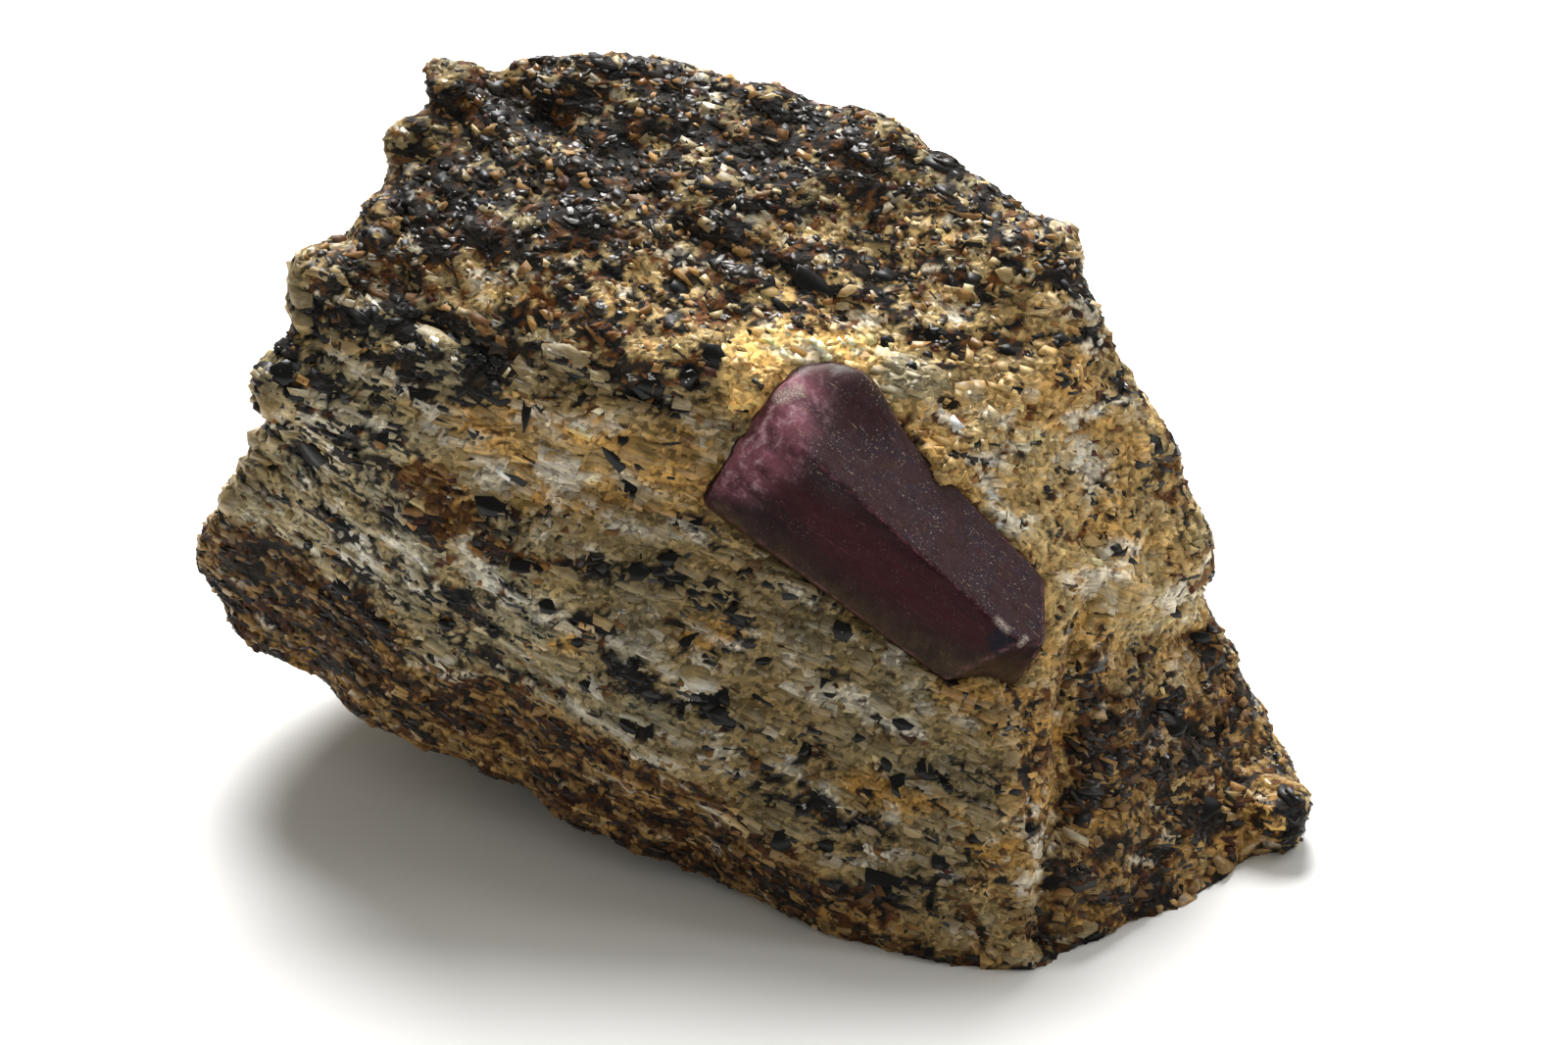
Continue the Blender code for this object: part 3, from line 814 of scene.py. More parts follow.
def make_feldspar(settings):
    """Feldspar and quartz: coarse chamfered blocks and fine ones between them, lying in the broken face."""
    material = grain_material("feldspar_cleaved", 0.48, 0.16, 0.000018, 0.4, (0.5, 1.4), 0.45)
    for name, spacing, columns, rings, size, proud, seed in (
        ("feldspar_coarse", 0.95 * MM, 6, CHAMFERED, (1.9, 0.95, 0.8), 0.015, 100),
        ("feldspar_fine", 0.52 * MM, 4, PLATE, (1.0, 0.40, 0.5), 0.025, 101),
    ):
        places, normals, field, rng = seeds("pale", spacing, seed)
        count = len(places)
        sugar = field["sugar"][:, None]
        halves = grain_halves(size, 0.25, count, rng)
        halves = halves * (1 - sugar * np.array([0.5, -0.1, 0.0])) * field["size"][:, None]
        halves = np.minimum(halves, np.array([1.2, 0.62, 0.5]) * MM)
        axes = grain_axes(normals, streak_along(normals), rng, 0.06 + 0.32 * sugar)
        proud = (proud + 0.09 * field["sugar"]) * MM
        middles = sink(places, normals, axes, halves, proud * rng.uniform(0.0, 1.5, count))
        tint = rng.lognormal(0, 0.07, (count, 1))
        # One grain in twenty is painted 1.7 times lighter: partly whiter grains and partly painted sparkle.
        tint = tint * np.where(rng.uniform(0, 1, (count, 1)) < 0.05, 1.7, 1.0) * np.ones(3)
        grain_piece(
            name, middles, axes, halves, columns, rings, 0.3, 0.08, rng, tint, material,
            lambda points, each: pale_tint(
                settings, {key: np.repeat(values, each) for key, values in field.items()}, fabric_place(points)
            ),
        )


def make_mica(settings):
    """Biotite mica: thin plates that lie in the layers, a few of which catch the light."""
    material = grain_material("biotite_mica", 0.45, 0.12, 0.000008, 0.0, (0.6, 1.5), 0.4)
    for name, spacing, columns, size, proud, loose, seed in (
        ("mica_coarse", 0.78 * MM, 6, (1.35, 0.9, 0.14), 0.06, 0.16, 110),
        ("mica_fine", 0.42 * MM, 4, (0.62, 0.42, 0.14), 0.08, 0.35, 111),
    ):
        places, normals, field, rng = seeds("dark", spacing, seed)
        count = len(places)
        halves = grain_halves(size, 0.28, count, rng)
        halves = np.minimum(halves, np.array([0.8, 0.55, 0.1]) * MM) * (0.4 + 0.6 * field["size"][:, None])
        up = LAYERS * np.where(normals @ LAYERS < 0, -1.0, 1.0)[:, None] + 0.8 * normals
        axes = grain_axes(up, streak_along(normals), rng, loose)
        proud = proud * MM * field["size"]
        middles = sink(places, normals, axes, halves, proud * rng.uniform(0.3, 1.5, count))
        brown = smooth(field["rust"] * 2.4 + rng.normal(0, 0.3, count))[:, None]
        tint = np.array(settings.mica) * (1 - brown) + np.array(settings.brown_mica) * brown
        tint = tint * field["light"][:, None] * rng.lognormal(0, 0.35, (count, 1))
        grain_piece(name, middles, axes, halves, columns, PLATE, 0.25, 0.2, rng, tint, material)


def make_rusty(settings):
    """Iron-stained grains, from brown to tan, and some reddish-brown garnet."""
    material = grain_material("iron_stained_feldspar", 0.6, 0.25, 0.00002, 0.15, (0.6, 1.35), 0.3)
    for name, spacing, columns, rings, size, proud, seed in (
        ("rusty_coarse", 0.9 * MM, 6, CHAMFERED, (1.1, 0.6, 0.7), 0.08, 120),
        ("rusty_fine", 0.42 * MM, 4, PLATE, (0.6, 0.34, 0.45), 0.08, 121),
    ):
        places, normals, field, rng = seeds("rusty", spacing, seed)
        count = len(places)
        halves = grain_halves(size, 0.28, count, rng)
        halves = halves * (0.3 + 0.7 * field["size"][:, None])
        axes = grain_axes(normals, streak_along(normals), rng, 0.3)
        middles = sink(places, normals, axes, halves, proud * MM * rng.uniform(0.2, 1.5, count))
        draw = rng.uniform(0, 1, (count, 1))
        rust, tan, red = (np.array(colour) for colour in (settings.rust, settings.tan, settings.garnet))
        tint = np.where(draw < 0.6, rust + (tan - rust) * draw / 0.6, tan)
        tint = np.where(draw > 0.85, red, tint) * field["light"][:, None] * rng.lognormal(0, 0.2, (count, 1))
        grain_piece(name, middles, axes, halves, columns, rings, 0.28, 0.25, rng, tint, material)


def skin_tree():
    """The rock's skin as a tree for finding places on it."""
    return BVHTree.FromObject(bpy.data.objects["gneiss_skin"], bpy.context.evaluated_depsgraph_get())


def cast(listed):
    """Where pixels of the picture meet the rock: places, normals, a pixel's size there and the listed rows."""
    tree = skin_tree()
    scale = SENSOR / LENS / PICTURE_WIDTH
    found = []
    for row in listed:
        right, down = (row[0] - PICTURE_WIDTH / 2) * scale, (row[1] - PICTURE_HEIGHT / 2) * scale
        ray = Vector(CAMERA_FORWARD + CAMERA_RIGHT * right - CAMERA_UP * down).normalized()
        hit, normal, _, distance = tree.ray_cast(Vector(CAMERA_PLACE), ray)
        if hit is not None:
            found.append((*hit, *normal, scale * distance, *row))
    found = np.array(found)
    return found[:, :3], found[:, 3:6], found[:, 6], found[:, 7:]


def make_glints(settings):
    """Mica plates with clean faces that catch the light, in groups of GLINT_PLATES round each listed place."""
    material = grain_material("painted_glint_mica", 0.14, 0.08, 0.000002, 0.0, (0.8, 1.2), 1.0)
    rng = np.random.default_rng(SEED + 140)
    places, normals, pixel, listed = cast(GLINTS)
    share = rng.uniform(-1, 1, (GLINT_PLATES, len(places), 3))
    spread = share[:, :, :1] * CAMERA_RIGHT + share[:, :, 1:2] * CAMERA_UP
    spread = spread * (listed[:, 2] * pixel * 0.6)[:, None]
    places = (places + spread).reshape(-1, 3)
    length, width = (
        np.tile(listed[:, column] * pixel, GLINT_PLATES) * rng.uniform(0.2, 0.5, len(places))
        for column in (2, 3)
    )
    halves = np.column_stack([length, width, np.full(len(places), 0.03 * MM)])
    up = np.tile(direction(*GLINT_LOOK), (len(places), 1)) + rng.normal(0, 0.06, places.shape)
    axes = grain_axes(unit(up), rng.normal(0, 1, places.shape), rng, 0.0)
    tree = skin_tree()
    found = [tree.find_nearest(Vector(place))[:2] for place in places]
    places, normals = (np.array([pair[side] for pair in found]) for side in (0, 1))
    middles = sink(places, normals, axes, halves, 0.10 * MM)
    # The plates are painted pale grey: a painted highlight, on top of the lamps' light that their glossy faces
    # reflect.
    tint = np.array(settings.painted_glint_mica) * rng.lognormal(0, 0.25, (len(places), 1))
    grain_piece("mica_painted_glints", middles, axes, halves, 6, PLATE, 0.3, 0.0, rng, tint, material)


def make_hornblende(settings):
    """Black crystals that stand alone on the faces, each cast on the rock along the picture's line of sight."""
    material = grain_material("hornblende", 0.35, 0.15, 0.00001, 0.0, (0.6, 1.6), 0.25)
    rng = np.random.default_rng(SEED + 130)
    places, normals, pixel, listed = cast(DARK_CRYSTALS)
    halves = np.column_stack([listed[:, 2], listed[:, 3], listed[:, 3] * 0.7]) * pixel[:, None] / 2
    turned = np.radians(listed[:, 4:5])
    alongs = CAMERA_RIGHT * np.cos(turned) - CAMERA_UP * np.sin(turned)
    up = unit(normals * 0.7 - CAMERA_FORWARD * 0.5)
    axes = grain_axes(up, alongs, rng, 0.08)
    middles = sink(places, up, axes, halves, 0.12 * MM)
    tint = np.array(settings.hornblende) * rng.lognormal(0, 0.3, (len(places), 1))
    grain_piece("hornblende_crystals", middles, axes, halves, 6, BROKEN, 0.25, 0.15, rng, tint, material)


def ruby_points(settings):
    """The crystal's skin: how far out its faces lie along each ray from its middle, with chipped, worn edges.

    A ray's reach is a soft smallest of the distances to the faces, so that the edges are rounded a little. Rays
    go round the crystal and from one end to the other, on a grid stretched along its length.
    """
    middle, axes = crystal_frame()
    normals, reach = crystal_faces()
    rounds, rows = RUBY_ROUNDS, RUBY_ROWS
    turn = np.arange(rounds) * (2 * np.pi / rounds)
    lift = (np.arange(rows) + 0.5) * (np.pi / rows)
    local = np.stack([
        np.outer(np.sin(lift), np.cos(turn)) * 5.0,
        np.outer(np.sin(lift), np.sin(turn)) * 5.0,
        np.outer(-np.cos(lift), np.ones(rounds)) * 9.0,
    ], axis=2).reshape(-1, 3)
    local = np.concatenate([local, [[0, 0, -1.0], [0, 0, 1.0]]])
    ray = unit(local) @ axes
    toward = ray @ normals.T
    # A face that a ray runs along or away from counts as a metre off.
    reaches = np.where(toward > 1e-3, reach / np.maximum(toward, 1e-3), 1.0)
    order = np.sort(reaches, axis=1)
    # The wide end is worn round, and the edges grow sharp towards the narrow end.
    along = (ray * order[:, :1]) @ axes[2] / MM
    sharp = WORN_SHARPNESS + ADDED_SHARPNESS * smooth((along + 7.0) / 5.0)
    soft = order[:, 0] * ((order[:, :1] / reaches) ** sharp[:, None]).sum(axis=1) ** (-1 / sharp)
    points = ray * soft[:, None]
    place = points @ axes.T / MM
    edge = smooth(1 - (order[:, 1] - order[:, 0]) / (0.16 * MM))
    wear = edge * smooth(wander(place / 0.5, SEED + 200) * 1.6 - 0.2)
    steps = wander(place / [3.5, 3.5, 6.0], SEED + 201) + 0.2 * wander(place / [0.8, 0.8, 4.0], SEED + 202)
    shift = 0.03 * steps - 0.07 * wear
    for corner, width, height in CRYSTAL_CORNERS:
        shift += height * np.exp(-((place - corner) ** 2).sum(axis=1) / width**2)
    jagged = smooth((-4.6 - place[:, 2]) / 1.0)
    shift += 0.10 * jagged * wander(place / 0.7, SEED + 203)
    points = middle + points + ray * (shift * MM)[:, None]
    across = np.arange(rounds)
    following = (across + 1) % rounds
    row = np.arange(rows - 1)[:, None] * rounds
    quads = np.stack([row + across, row + following, row + rounds + following, row + rounds + across], axis=2)
    pairs = np.arange(0, rounds, 2)
    after, last = (pairs + 1) % rounds, (pairs + 2) % rounds
    low, high = rows * rounds, rows * rounds + 1
    top = (rows - 1) * rounds
    caps = [
        np.stack([np.full(len(pairs), low), last, after, pairs], axis=1),
        np.stack([np.full(len(pairs), high), top + pairs, top + after, top + last], axis=1),
    ]
    return points, np.concatenate([quads.reshape(-1, 4), *caps]), place, edge


def make_ruby(settings):
    """The ruby crystal, with what shows on it in the picture: frosted end, inner glow, stain and chipped
    spots, which are partly painted highlights.
    """
    points, quads, place, edge = ruby_points(settings)
    piece = quad_object("ruby_crystal_skin", points, quads, ruby_material(settings))
    piece.data.polygons.foreach_set("use_smooth", np.ones(len(piece.data.polygons), bool))
    store(piece, "crystal_place", place)
    x, y = picture_place(points)
    _, facing = crystal_distance(points)
    shown = smooth((facing @ -CAMERA_FORWARD - 0.05) / 0.1)
    for name, (outline, soft) in RUBY_AREAS.items():
        store(piece, name, (shown * inside(x, y, outline, soft))[:, None])
    for name, lines in RUBY_LINES.items():
        total = np.max([line_weight(x, y, line, width) for line, width in lines], axis=0)
        store(piece, name, (shown * total)[:, None])
    # Faces that look up carry dust and scratches, which dull their colour, and a painted sheen of the light
    # that falls on them, which makes them lighter and greyer. So does one patch near the wide end.
    dull = shown * inside(x, y, *RUBY_DULL)
    store(piece, "dust_and_sheen", np.maximum(smooth((facing[:, 2] - 0.45) / 0.3), 0.8 * dull)[:, None])
    store(piece, "edge", edge[:, None])
    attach(piece, "root")
    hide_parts("ruby_crystal")


# The ruby's patterns, in its own millimetres: each noise's scale, detail and roughness. A scale of 0.5 makes
# patches 2 mm wide, and one of 10 makes specks of 0.1 mm.
RUBY_NOISES = {
    "growth": (0.5, 4.0, 0.6), "silk": (1.1, 7.0, 0.7), "slate": (0.9, 5.0, 0.6), "brown": (1.4, 8.0, 0.75),
    "haze": (2.6, 8.0, 0.8), "dust_and_sheen_film": (2.0, 7.0, 0.75), "mottle": (1.3, 7.0, 0.72),
    "fibres": (0.8, 6.0, 0.62), "blotches": (1.6, 6.0, 0.7), "spots": (0.7, 6.0, 0.75),
    "first lines": (8.0, 4.0, 0.6), "second lines": (8.0, 4.0, 0.6), "third lines": (8.0, 4.0, 0.6),
    "hollows": (0.8, 5.0, 0.7), "specks": (10.0, 4.0, 0.65), "clusters": (0.9, 3.0, 0.6),
    "rubbing": (2.2, 5.0, 0.7), "splinters": (16.0, 6.0, 0.8), "grit": (6.0, 6.0, 0.75),
    "swell": (1.2, 3.0, 0.5),
}
# The noises that are squeezed across and drawn out along the crystal, and how each is turned.
RUBY_STRETCHES = {
    "silk": ((1.5, 1.5, 0.4), (0, 0, 0)), "fibres": ((1.6, 1.6, 0.3), (0, 0, 0)),
    "first lines": ((1, 1, 0.07), (0.2, 0.15, 0.0)), "second lines": ((1, 1, 0.07), (0.5, -0.6, 0.3)),
    "third lines": ((1, 1, 0.07), (0.1, 1.2, 0.5)),
}
# Shares from 0 to 1: what each is eased from, from and to which value, and the share at either end.
RUBY_SHARES = {
    "deep wine": ("growth", 0.35, 0.65, 0.0, 1.0), "cloudy glow": ("silk", 0.3, 0.6, 0.3, 0.9),
    "slate patches": ("slate", 0.42, 0.6, 0.0, 1.0), "brown patches": ("brown", 0.5, 0.66, 0.0, 0.8),
    "haze patches": ("haze", 0.54, 0.68, 0.0, 0.55), "uneven film": ("dust_and_sheen_film", 0.34, 0.56, 0.45, 1.0),
    "pale silk": ("silk", 0.48, 0.75, 0.0, 0.6), "streaky": ("fibres", 0.3, 0.7, 0.2, 1.0),
    "wide end": ("pink", 0.0, 0.9, 0.0, 1.0), "mottled": ("mottle", 0.4, 0.7, 0.0, 0.5),
    "frosted": ("mottle", 0.5, 0.7, 0.0, 0.85), "blotchy": ("blotches", 0.35, 0.6, 0.35, 1.0),
    "spotted": ("spots", 0.6, 0.75, 0.0, 1.0), "first scratches": ("first lines", 0.65, 0.70, 0.0, 0.8),
    "second scratches": ("second lines", 0.67, 0.72, 0.0, 0.8),
    "third scratches": ("third lines", 0.67, 0.72, 0.0, 0.8), "gathered": ("hollows", 0.45, 0.62, 0.0, 1.0),
    "flecks": ("specks", 0.60, 0.66, 0.0, 1.0), "clustered": ("clusters", 0.42, 0.62, 0.15, 1.0),
    "upper": ("dust_and_sheen", 0.0, 1.0, 0.22, 1.0), "rubbed": ("rubbing", 0.45, 0.62, 0.0, 0.55),
    "chipped": ("chips_and_highlights", 0.2, 1.0, 0.0, 1.0), "splintered": ("splinters", 0.42, 0.62, 0.0, 1.0),
    "gloss": ("silk", 0.2, 0.8, 0.28, 0.5),
}
# Shares worked out from two others, or from one and a number.
RUBY_SUMS = (
    ("glowing", "MULTIPLY", "glow", "cloudy glow"),
    # The next share spreads dust and a painted sheen over the faces that look up.
    ("dust_and_sheen_cover", "MULTIPLY", "dust_and_sheen", "uneven film"),
    ("soft streaks", "MULTIPLY", "streaky", 0.8),
    ("frosting", "ADD", "soft streaks", "mottled"),
    ("pink end", "MULTIPLY", "wide end", "frosting"),
    # Pale spots on the frosted end, next: partly frosting and partly painted sparkle.
    ("frost_and_sparkle_spots", "MULTIPLY", "pink", "frosted"),
    ("contact stain", "MULTIPLY", "stain", "blotchy"),
    ("faint spots", "MULTIPLY", "spotted", 0.35),
    ("stained", "ADD", "contact stain", "faint spots"),
    ("two scratches", "ADD", "first scratches", "second scratches"),
    ("scratches", "ADD", "two scratches", "third scratches"),
    ("scratch dust", "MULTIPLY", "scratches", "gathered"),
    ("fleck dust", "MULTIPLY", "flecks", "clustered"),
    ("all dust", "ADD", "scratch dust", "fleck dust"),
    ("dust", "MULTIPLY", "all dust", "upper"),
    ("thin dust", "MULTIPLY", "dust", 0.85),
    ("worn", "MULTIPLY", "edge", "rubbed"),
    ("fresh_chips_and_highlights", "MULTIPLY", "chipped", "splintered"),
    ("matt dust", "MULTIPLY", "dust", 0.3),
    ("roughness", "ADD", "gloss", "matt dust"),
    ("fine grit", "MULTIPLY", "grit", 0.8),
    ("scratch depth", "MULTIPLY", "scratches", 0.5),
    ("relief", "ADD", "fine grit", "scratch depth"),
)
# Colours laid one over another: the result, the share of the upper one, the lower and the upper.
RUBY_LAYERS = (
    # The first three layers colour the faces that look up: partly dust and partly a painted sheen.
    ("dust_and_sheen_film", "slate patches", "purple", "slate"), ("dust_and_sheen_film", "brown patches", "dust_and_sheen_film", "brown"),
    ("dust_and_sheen_film", "haze patches", "dust_and_sheen_film", "haze"), ("ruby", "deep wine", "wine", "deep"),
    ("ruby", "glowing", "ruby", "glow"), ("ruby", "dust_and_sheen_cover", "ruby", "dust_and_sheen_film"),
    ("ruby", "pale silk", "ruby", "purple"), ("ruby", "pink end", "ruby", "pink"),
    ("ruby", "frost_and_sparkle_spots", "ruby", "frost_and_sparkle"), ("ruby", "blue", "ruby", "blue"),
    ("ruby", "stained", "ruby", "stain"), ("ruby", "thin dust", "ruby", "dust"),
    # The last layer on the next line paints pale spots, partly chipped places and partly painted highlights.
    ("ruby", "worn", "ruby", "pink"), ("ruby", "fresh_chips_and_highlights", "ruby", "chip_and_highlight"),
)


def ruby_material(settings):
    """Ruby, a natural corundum crystal, dark wine inside with frosted faces.

    Cloudy silk along the crystal makes it look deep. The faces that look up are dull with dust and carry a
    painted sheen of the light on them, lighter and greyer, which makes it look natural. Scratches 0.02 to
    0.04 mm wide with dust in them, worn edges and an iron stain show that it was never cut.
    """
    made, tree = new_material("ruby_corundum")
    place = add_node(tree, "Attribute", output="Vector", attribute_name="crystal_place")
    share = {
        name: add_node(tree, "Attribute", output="Fac", attribute_name=name)
        for name in ("pink", "glow", "blue", "stain", "chips_and_highlights", "dust_and_sheen", "edge")
    }
    for name, (scale, detail, rough) in RUBY_NOISES.items():
        stretch, turn = RUBY_STRETCHES.get(name, ((1, 1, 1), (0, 0, 0)))
        where = add_node(tree, "Mapping", {"Vector": place, "Rotation": turn, "Scale": stretch})
        share[name] = add_node(tree, "TexNoise", {
            "Vector": where, "Scale": scale, "Detail": detail, "Roughness": rough,
        })
    for name, (source, low, high, bottom, top) in RUBY_SHARES.items():
        share[name] = add_node(tree, "MapRange", {
            "Value": share[source], "From Min": low, "From Max": high, "To Min": bottom, "To Max": top,
        }, interpolation_type="SMOOTHSTEP")
    for name, operation, first, second in RUBY_SUMS:
        share[name] = add_node(tree, "Math", {0: share[first], 1: share.get(second, second)},
                               operation=operation, use_clamp=operation == "ADD")
    colour = {name: (*getattr(settings, name), 1) for name in settings.__annotations__}
    for name, upper_share, lower, upper in RUBY_LAYERS:
        colour[name] = add_node(tree, "Mix", {0: share[upper_share], 6: colour[lower], 7: colour[upper]}, 2,
                                data_type="RGBA")
    fine = add_node(tree, "Bump", {"Height": share["relief"], "Strength": 0.5, "Distance": 0.04 * MM})
    swell = add_node(tree, "Bump", {
        "Height": share["swell"], "Strength": 0.5, "Distance": 0.12 * MM, "Normal": fine,
    })
    shader = add_node(tree, "BsdfPrincipled", {
        "Base Color": colour["ruby"], "Roughness": share["roughness"], "IOR": 1.76, "Specular IOR Level": 0.06,
        "Subsurface Weight": 0.15, "Subsurface Radius": (1.0, 0.25, 0.4), "Subsurface Scale": 0.6 * MM,
        "Normal": swell,
    })
    add_node(tree, "OutputMaterial", {"Surface": shader})
    return made


def card_material(settings):
    """White card, matt, with clouds 30 mm wide that are hardly darker, so that it looks like paper."""
    made, tree = new_material("white_card")
    place = add_node(tree, "TexCoord", output="Object")
    cloud = add_node(tree, "TexNoise", {"Vector": place, "Scale": 30.0, "Detail": 3.0})
    shade = add_node(tree, "MapRange", {"Value": cloud, "To Min": 0.97, "To Max": 1.0})
    colour = add_node(tree, "Mix", {0: 1.0, 6: (*settings.floor, 1), 7: shade}, 2, data_type="RGBA",
                      blend_type="MULTIPLY")
    shader = add_node(tree, "BsdfPrincipled", {"Base Color": colour, "Roughness": 0.9})
    add_node(tree, "OutputMaterial", {"Surface": shader})
    return made


def make_stage(settings):
    """The white floor, the lights and the camera."""
    reach = FLOOR_REACH
    corners = np.array([(-reach, -reach, 0), (reach, -reach, 0), (reach, reach, 0), (-reach, reach, 0)], float)
    floor = quad_object("floor", corners, np.array([[0, 1, 2, 3]]), card_material(settings))
    for name, place, width, power in (
        ("overhead", (-0.03, 0.26, 0.33), 0.28, settings.overhead_power),
        ("window", (0.27, 0.08, 0.30), 0.36, settings.window_power),
    ):
        data = bpy.data.lights.new(name, "AREA")
        data.shape = "DISK"
        data.size = width
        data.energy = power
        lamp = bpy.data.objects.new(name, data)
        lamp.location = place
        lamp.rotation_euler = (Vector((0, 0, 0.015)) - Vector(place)).to_track_quat("-Z", "Y").to_euler()
        bpy.context.scene.collection.objects.link(lamp)
    world = bpy.data.worlds.new("soft_room")
    world.use_nodes = True
    background = world.node_tree.nodes["Background"]
    background.inputs["Color"].default_value = (1.0, 0.97, 0.90, 1.0)
    background.inputs["Strength"].default_value = settings.room_light
    bpy.context.scene.world = world
    bpy.context.scene.view_settings.view_transform = "Standard"
    data = bpy.data.cameras.new("camera")
    data.lens = LENS
    data.sensor_width = SENSOR
    data.clip_start = 0.01
    camera = bpy.data.objects.new("camera", data)
    camera.location = CAMERA_PLACE
    camera.rotation_euler = Vector(CAMERA_FORWARD).to_track_quat("-Z", "Y").to_euler()
    bpy.context.scene.collection.objects.link(camera)
    bpy.context.scene.camera = camera


def length_setting(name, description, default):
    """A length property in metres."""
    return bpy.props.FloatProperty(
        name=name, description=description, default=default, min=1e-5, unit="LENGTH", subtype="DISTANCE",
        precision=5,
    )


def colour_setting(name, description, code):
    """A colour property from a hex code."""
    return bpy.props.FloatVectorProperty(
        name=name, description=description, default=linear(code), size=3, min=0.0, max=1.0, subtype="COLOR"
    )


class RockSettings(bpy.types.PropertyGroup):
    """Sizes and colours of the rock and its grains."""

    skin_spacing: length_setting("Skin spacing", "Distance between the points of the rock's skin", 0.00028)
    feldspar: colour_setting("Grey feldspar", "Colour of the cool pale grains", "#93896a")
    cream: colour_setting("Cream feldspar", "Colour of the middling pale grains", "#b59a66")
    yellow: colour_setting("Yellow feldspar", "Colour of the warm pale grains", "#cf9d50")
    white_streak: colour_setting("White streak", "Colour of the whitest feldspar", "#e2dccb")
    rust: colour_setting("Rust", "Colour of iron-stained grains", "#67401d")
    tan: colour_setting("Tan", "Colour of lightly stained grains", "#9c7540")
    garnet: colour_setting("Garnet", "Colour of the reddish-brown grains", "#46200f")
    mica: colour_setting("Biotite", "Colour of fresh mica", "#0f1011")
    brown_mica: colour_setting("Brown biotite", "Colour of weathered mica", "#2b2218")
    # Painted highlight: the mica plates that catch the light are painted this pale grey, where fresh mica is
    # dark.
    painted_glint_mica: colour_setting("Bright mica", "Colour of the clean mica faces", "#aaa8a6")
    hornblende: colour_setting("Hornblende", "Colour of the black crystals", "#070808")


class RubySettings(bpy.types.PropertyGroup):
    """Colours of the ruby crystal."""

    wine: colour_setting("Wine", "Colour of the clear dark parts", "#260d12")
    deep: colour_setting("Deep wine", "Colour of the darkest parts", "#16080c")
    glow: colour_setting("Inner red", "Colour of the light inside the lower face", "#3d1016")
    # Purple, slate, brown and haze colour the faces that look up: partly dust and partly a painted sheen of the
    # light on them. Purple also colours the pale silk.
    purple: colour_setting("Purple", "Colour of the dusty faces", "#3b2528")
    slate: colour_setting("Slate", "Colour of the bluish parts of the dusty faces", "#32262f")
    brown: colour_setting("Brown", "Colour of the stained parts of the dusty faces", "#3c2820")
    haze: colour_setting("Haze", "Colour of the palest dust on the faces", "#5d4a4c")
    pink: colour_setting("Pink", "Colour of the frosted end", "#8a5661")
    # Frost colours pale spots on the frosted end: partly frosting and partly painted sparkle.
    frost_and_sparkle: colour_setting("Frost", "Colour of the palest spots of the frosted end", "#b39aa0")
    blue: colour_setting("Blue facet", "Colour of the small dark facet at the narrow end", "#15101f")
    stain: colour_setting("Stain", "Colour of the iron stain", "#3d2e1d")
    dust: colour_setting("Dust", "Colour of scratches and dust", "#b9a08a")
    # Painted highlight in part: this pale colour marks chipped places that also stand for glints of light.
    chip_and_highlight: colour_setting("Chip", "Colour of fresh_chips_and_highlights", "#cdbfb4")


class StageSettings(bpy.types.PropertyGroup):
    """Floor and lights."""

    floor: colour_setting("Floor", "Colour of the floor", "#f6f6f4")
    overhead_power: bpy.props.FloatProperty(
        name="Overhead light", description="Power of the soft light above", default=4.1, min=0, unit="POWER"
    )
    window_power: bpy.props.FloatProperty(
        name="Window light", description="Power of the soft light at the right", default=0.45, min=0, unit="POWER"
    )
    room_light: bpy.props.FloatProperty(
        name="Room light", description="Strength of the light from all round", default=0.315, min=0
    )


class RUBYMATRIX_OT_skin(bpy.types.Operator):
    """Build the rock's skin over the CAD rock"""

    bl_idname = "rubymatrix.skin"
    bl_label = "Rock skin"

    def execute(self, context):
        """Build the piece."""
        skin = make_skin(context.scene.rubymatrix_rock)
        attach(skin, "root")
        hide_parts("matrix")
        return {"FINISHED"}


class RUBYMATRIX_OT_feldspar(bpy.types.Operator):
    """Build the pale grains"""

    bl_idname = "rubymatrix.feldspar"
    bl_label = "Feldspar grains"

    def execute(self, context):
        """Build the pieces."""
        make_feldspar(context.scene.rubymatrix_rock)
        return {"FINISHED"}


class RUBYMATRIX_OT_mica(bpy.types.Operator):
    """Build the mica plates"""

    bl_idname = "rubymatrix.mica"
    bl_label = "Biotite mica"

    def execute(self, context):
        """Build the pieces."""
        make_mica(context.scene.rubymatrix_rock)
        make_glints(context.scene.rubymatrix_rock)
        return {"FINISHED"}


class RUBYMATRIX_OT_rusty(bpy.types.Operator):
    """Build the iron-stained grains"""

    bl_idname = "rubymatrix.rusty"
    bl_label = "Iron-stained grains"

    def execute(self, context):
        """Build the pieces."""
        make_rusty(context.scene.rubymatrix_rock)
        return {"FINISHED"}


class RUBYMATRIX_OT_hornblende(bpy.types.Operator):
    """Build the black crystals that stand alone"""

    bl_idname = "rubymatrix.hornblende"
    bl_label = "Hornblende crystals"

    def execute(self, context):
        """Build the piece."""
        make_hornblende(context.scene.rubymatrix_rock)
        return {"FINISHED"}


class RUBYMATRIX_OT_ruby(bpy.types.Operator):
    """Build the ruby crystal"""

    bl_idname = "rubymatrix.ruby"
    bl_label = "Ruby crystal"

    def execute(self, context):
        """Build the piece."""
        make_ruby(context.scene.rubymatrix_ruby)
        return {"FINISHED"}


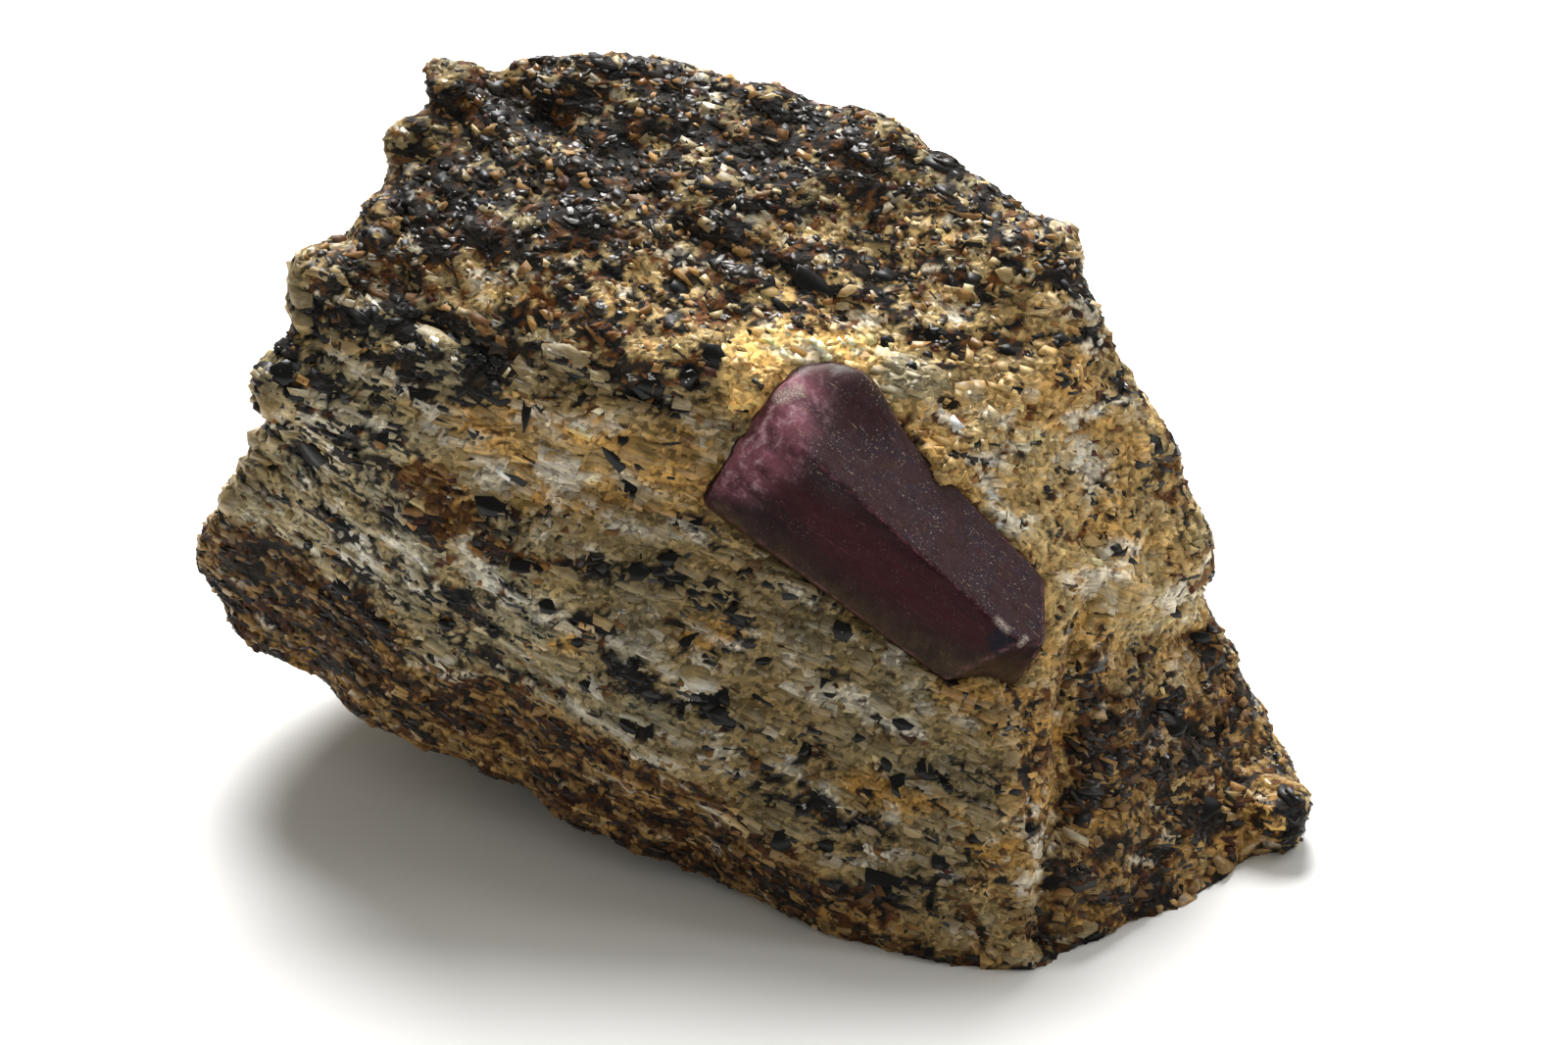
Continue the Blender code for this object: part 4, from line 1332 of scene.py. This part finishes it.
class RUBYMATRIX_OT_stage(bpy.types.Operator):
    """Build the floor, lights and camera"""

    bl_idname = "rubymatrix.stage"
    bl_label = "Stage"

    def execute(self, context):
        """Build the stage."""
        make_stage(context.scene.rubymatrix_stage)
        return {"FINISHED"}


class RUBYMATRIX_PT_panel(bpy.types.Panel):
    """Lists the sizes, the colours and the steps"""

    bl_idname = "RUBYMATRIX_PT_panel"
    bl_label = "Ruby in Matrix"
    bl_space_type = "VIEW_3D"
    bl_region_type = "UI"
    bl_category = "Ruby in Matrix"

    def draw(self, context):
        """Draw the settings and the buttons."""
        scene = context.scene
        for group in (scene.rubymatrix_rock, scene.rubymatrix_ruby, scene.rubymatrix_stage):
            box = self.layout.box()
            for name in group.__annotations__:
                box.prop(group, name)
        for step in STEPS:
            self.layout.operator(step.bl_idname)


STEPS = (
    RUBYMATRIX_OT_skin,
    RUBYMATRIX_OT_feldspar,
    RUBYMATRIX_OT_mica,
    RUBYMATRIX_OT_rusty,
    RUBYMATRIX_OT_hornblende,
    RUBYMATRIX_OT_ruby,
    RUBYMATRIX_OT_stage,
)
CLASSES = (RockSettings, RubySettings, StageSettings, *STEPS, RUBYMATRIX_PT_panel)


def register():
    """Register the classes and hang the settings on the scene."""
    for each in CLASSES:
        bpy.utils.register_class(each)
    bpy.types.Scene.rubymatrix_rock = bpy.props.PointerProperty(type=RockSettings)
    bpy.types.Scene.rubymatrix_ruby = bpy.props.PointerProperty(type=RubySettings)
    bpy.types.Scene.rubymatrix_stage = bpy.props.PointerProperty(type=StageSettings)


def unregister():
    """Take the settings and the classes away."""
    del bpy.types.Scene.rubymatrix_stage
    del bpy.types.Scene.rubymatrix_ruby
    del bpy.types.Scene.rubymatrix_rock
    for each in reversed(CLASSES):
        bpy.utils.unregister_class(each)


def main():
    """Build everything in order and keep the sizes."""
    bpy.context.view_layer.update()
    register()
    bpy.ops.rubymatrix.skin()
    bpy.ops.rubymatrix.feldspar()
    bpy.ops.rubymatrix.mica()
    bpy.ops.rubymatrix.rusty()
    bpy.ops.rubymatrix.hornblende()
    bpy.ops.rubymatrix.ruby()
    bpy.ops.rubymatrix.stage()


if __name__ == "__main__":
    main()
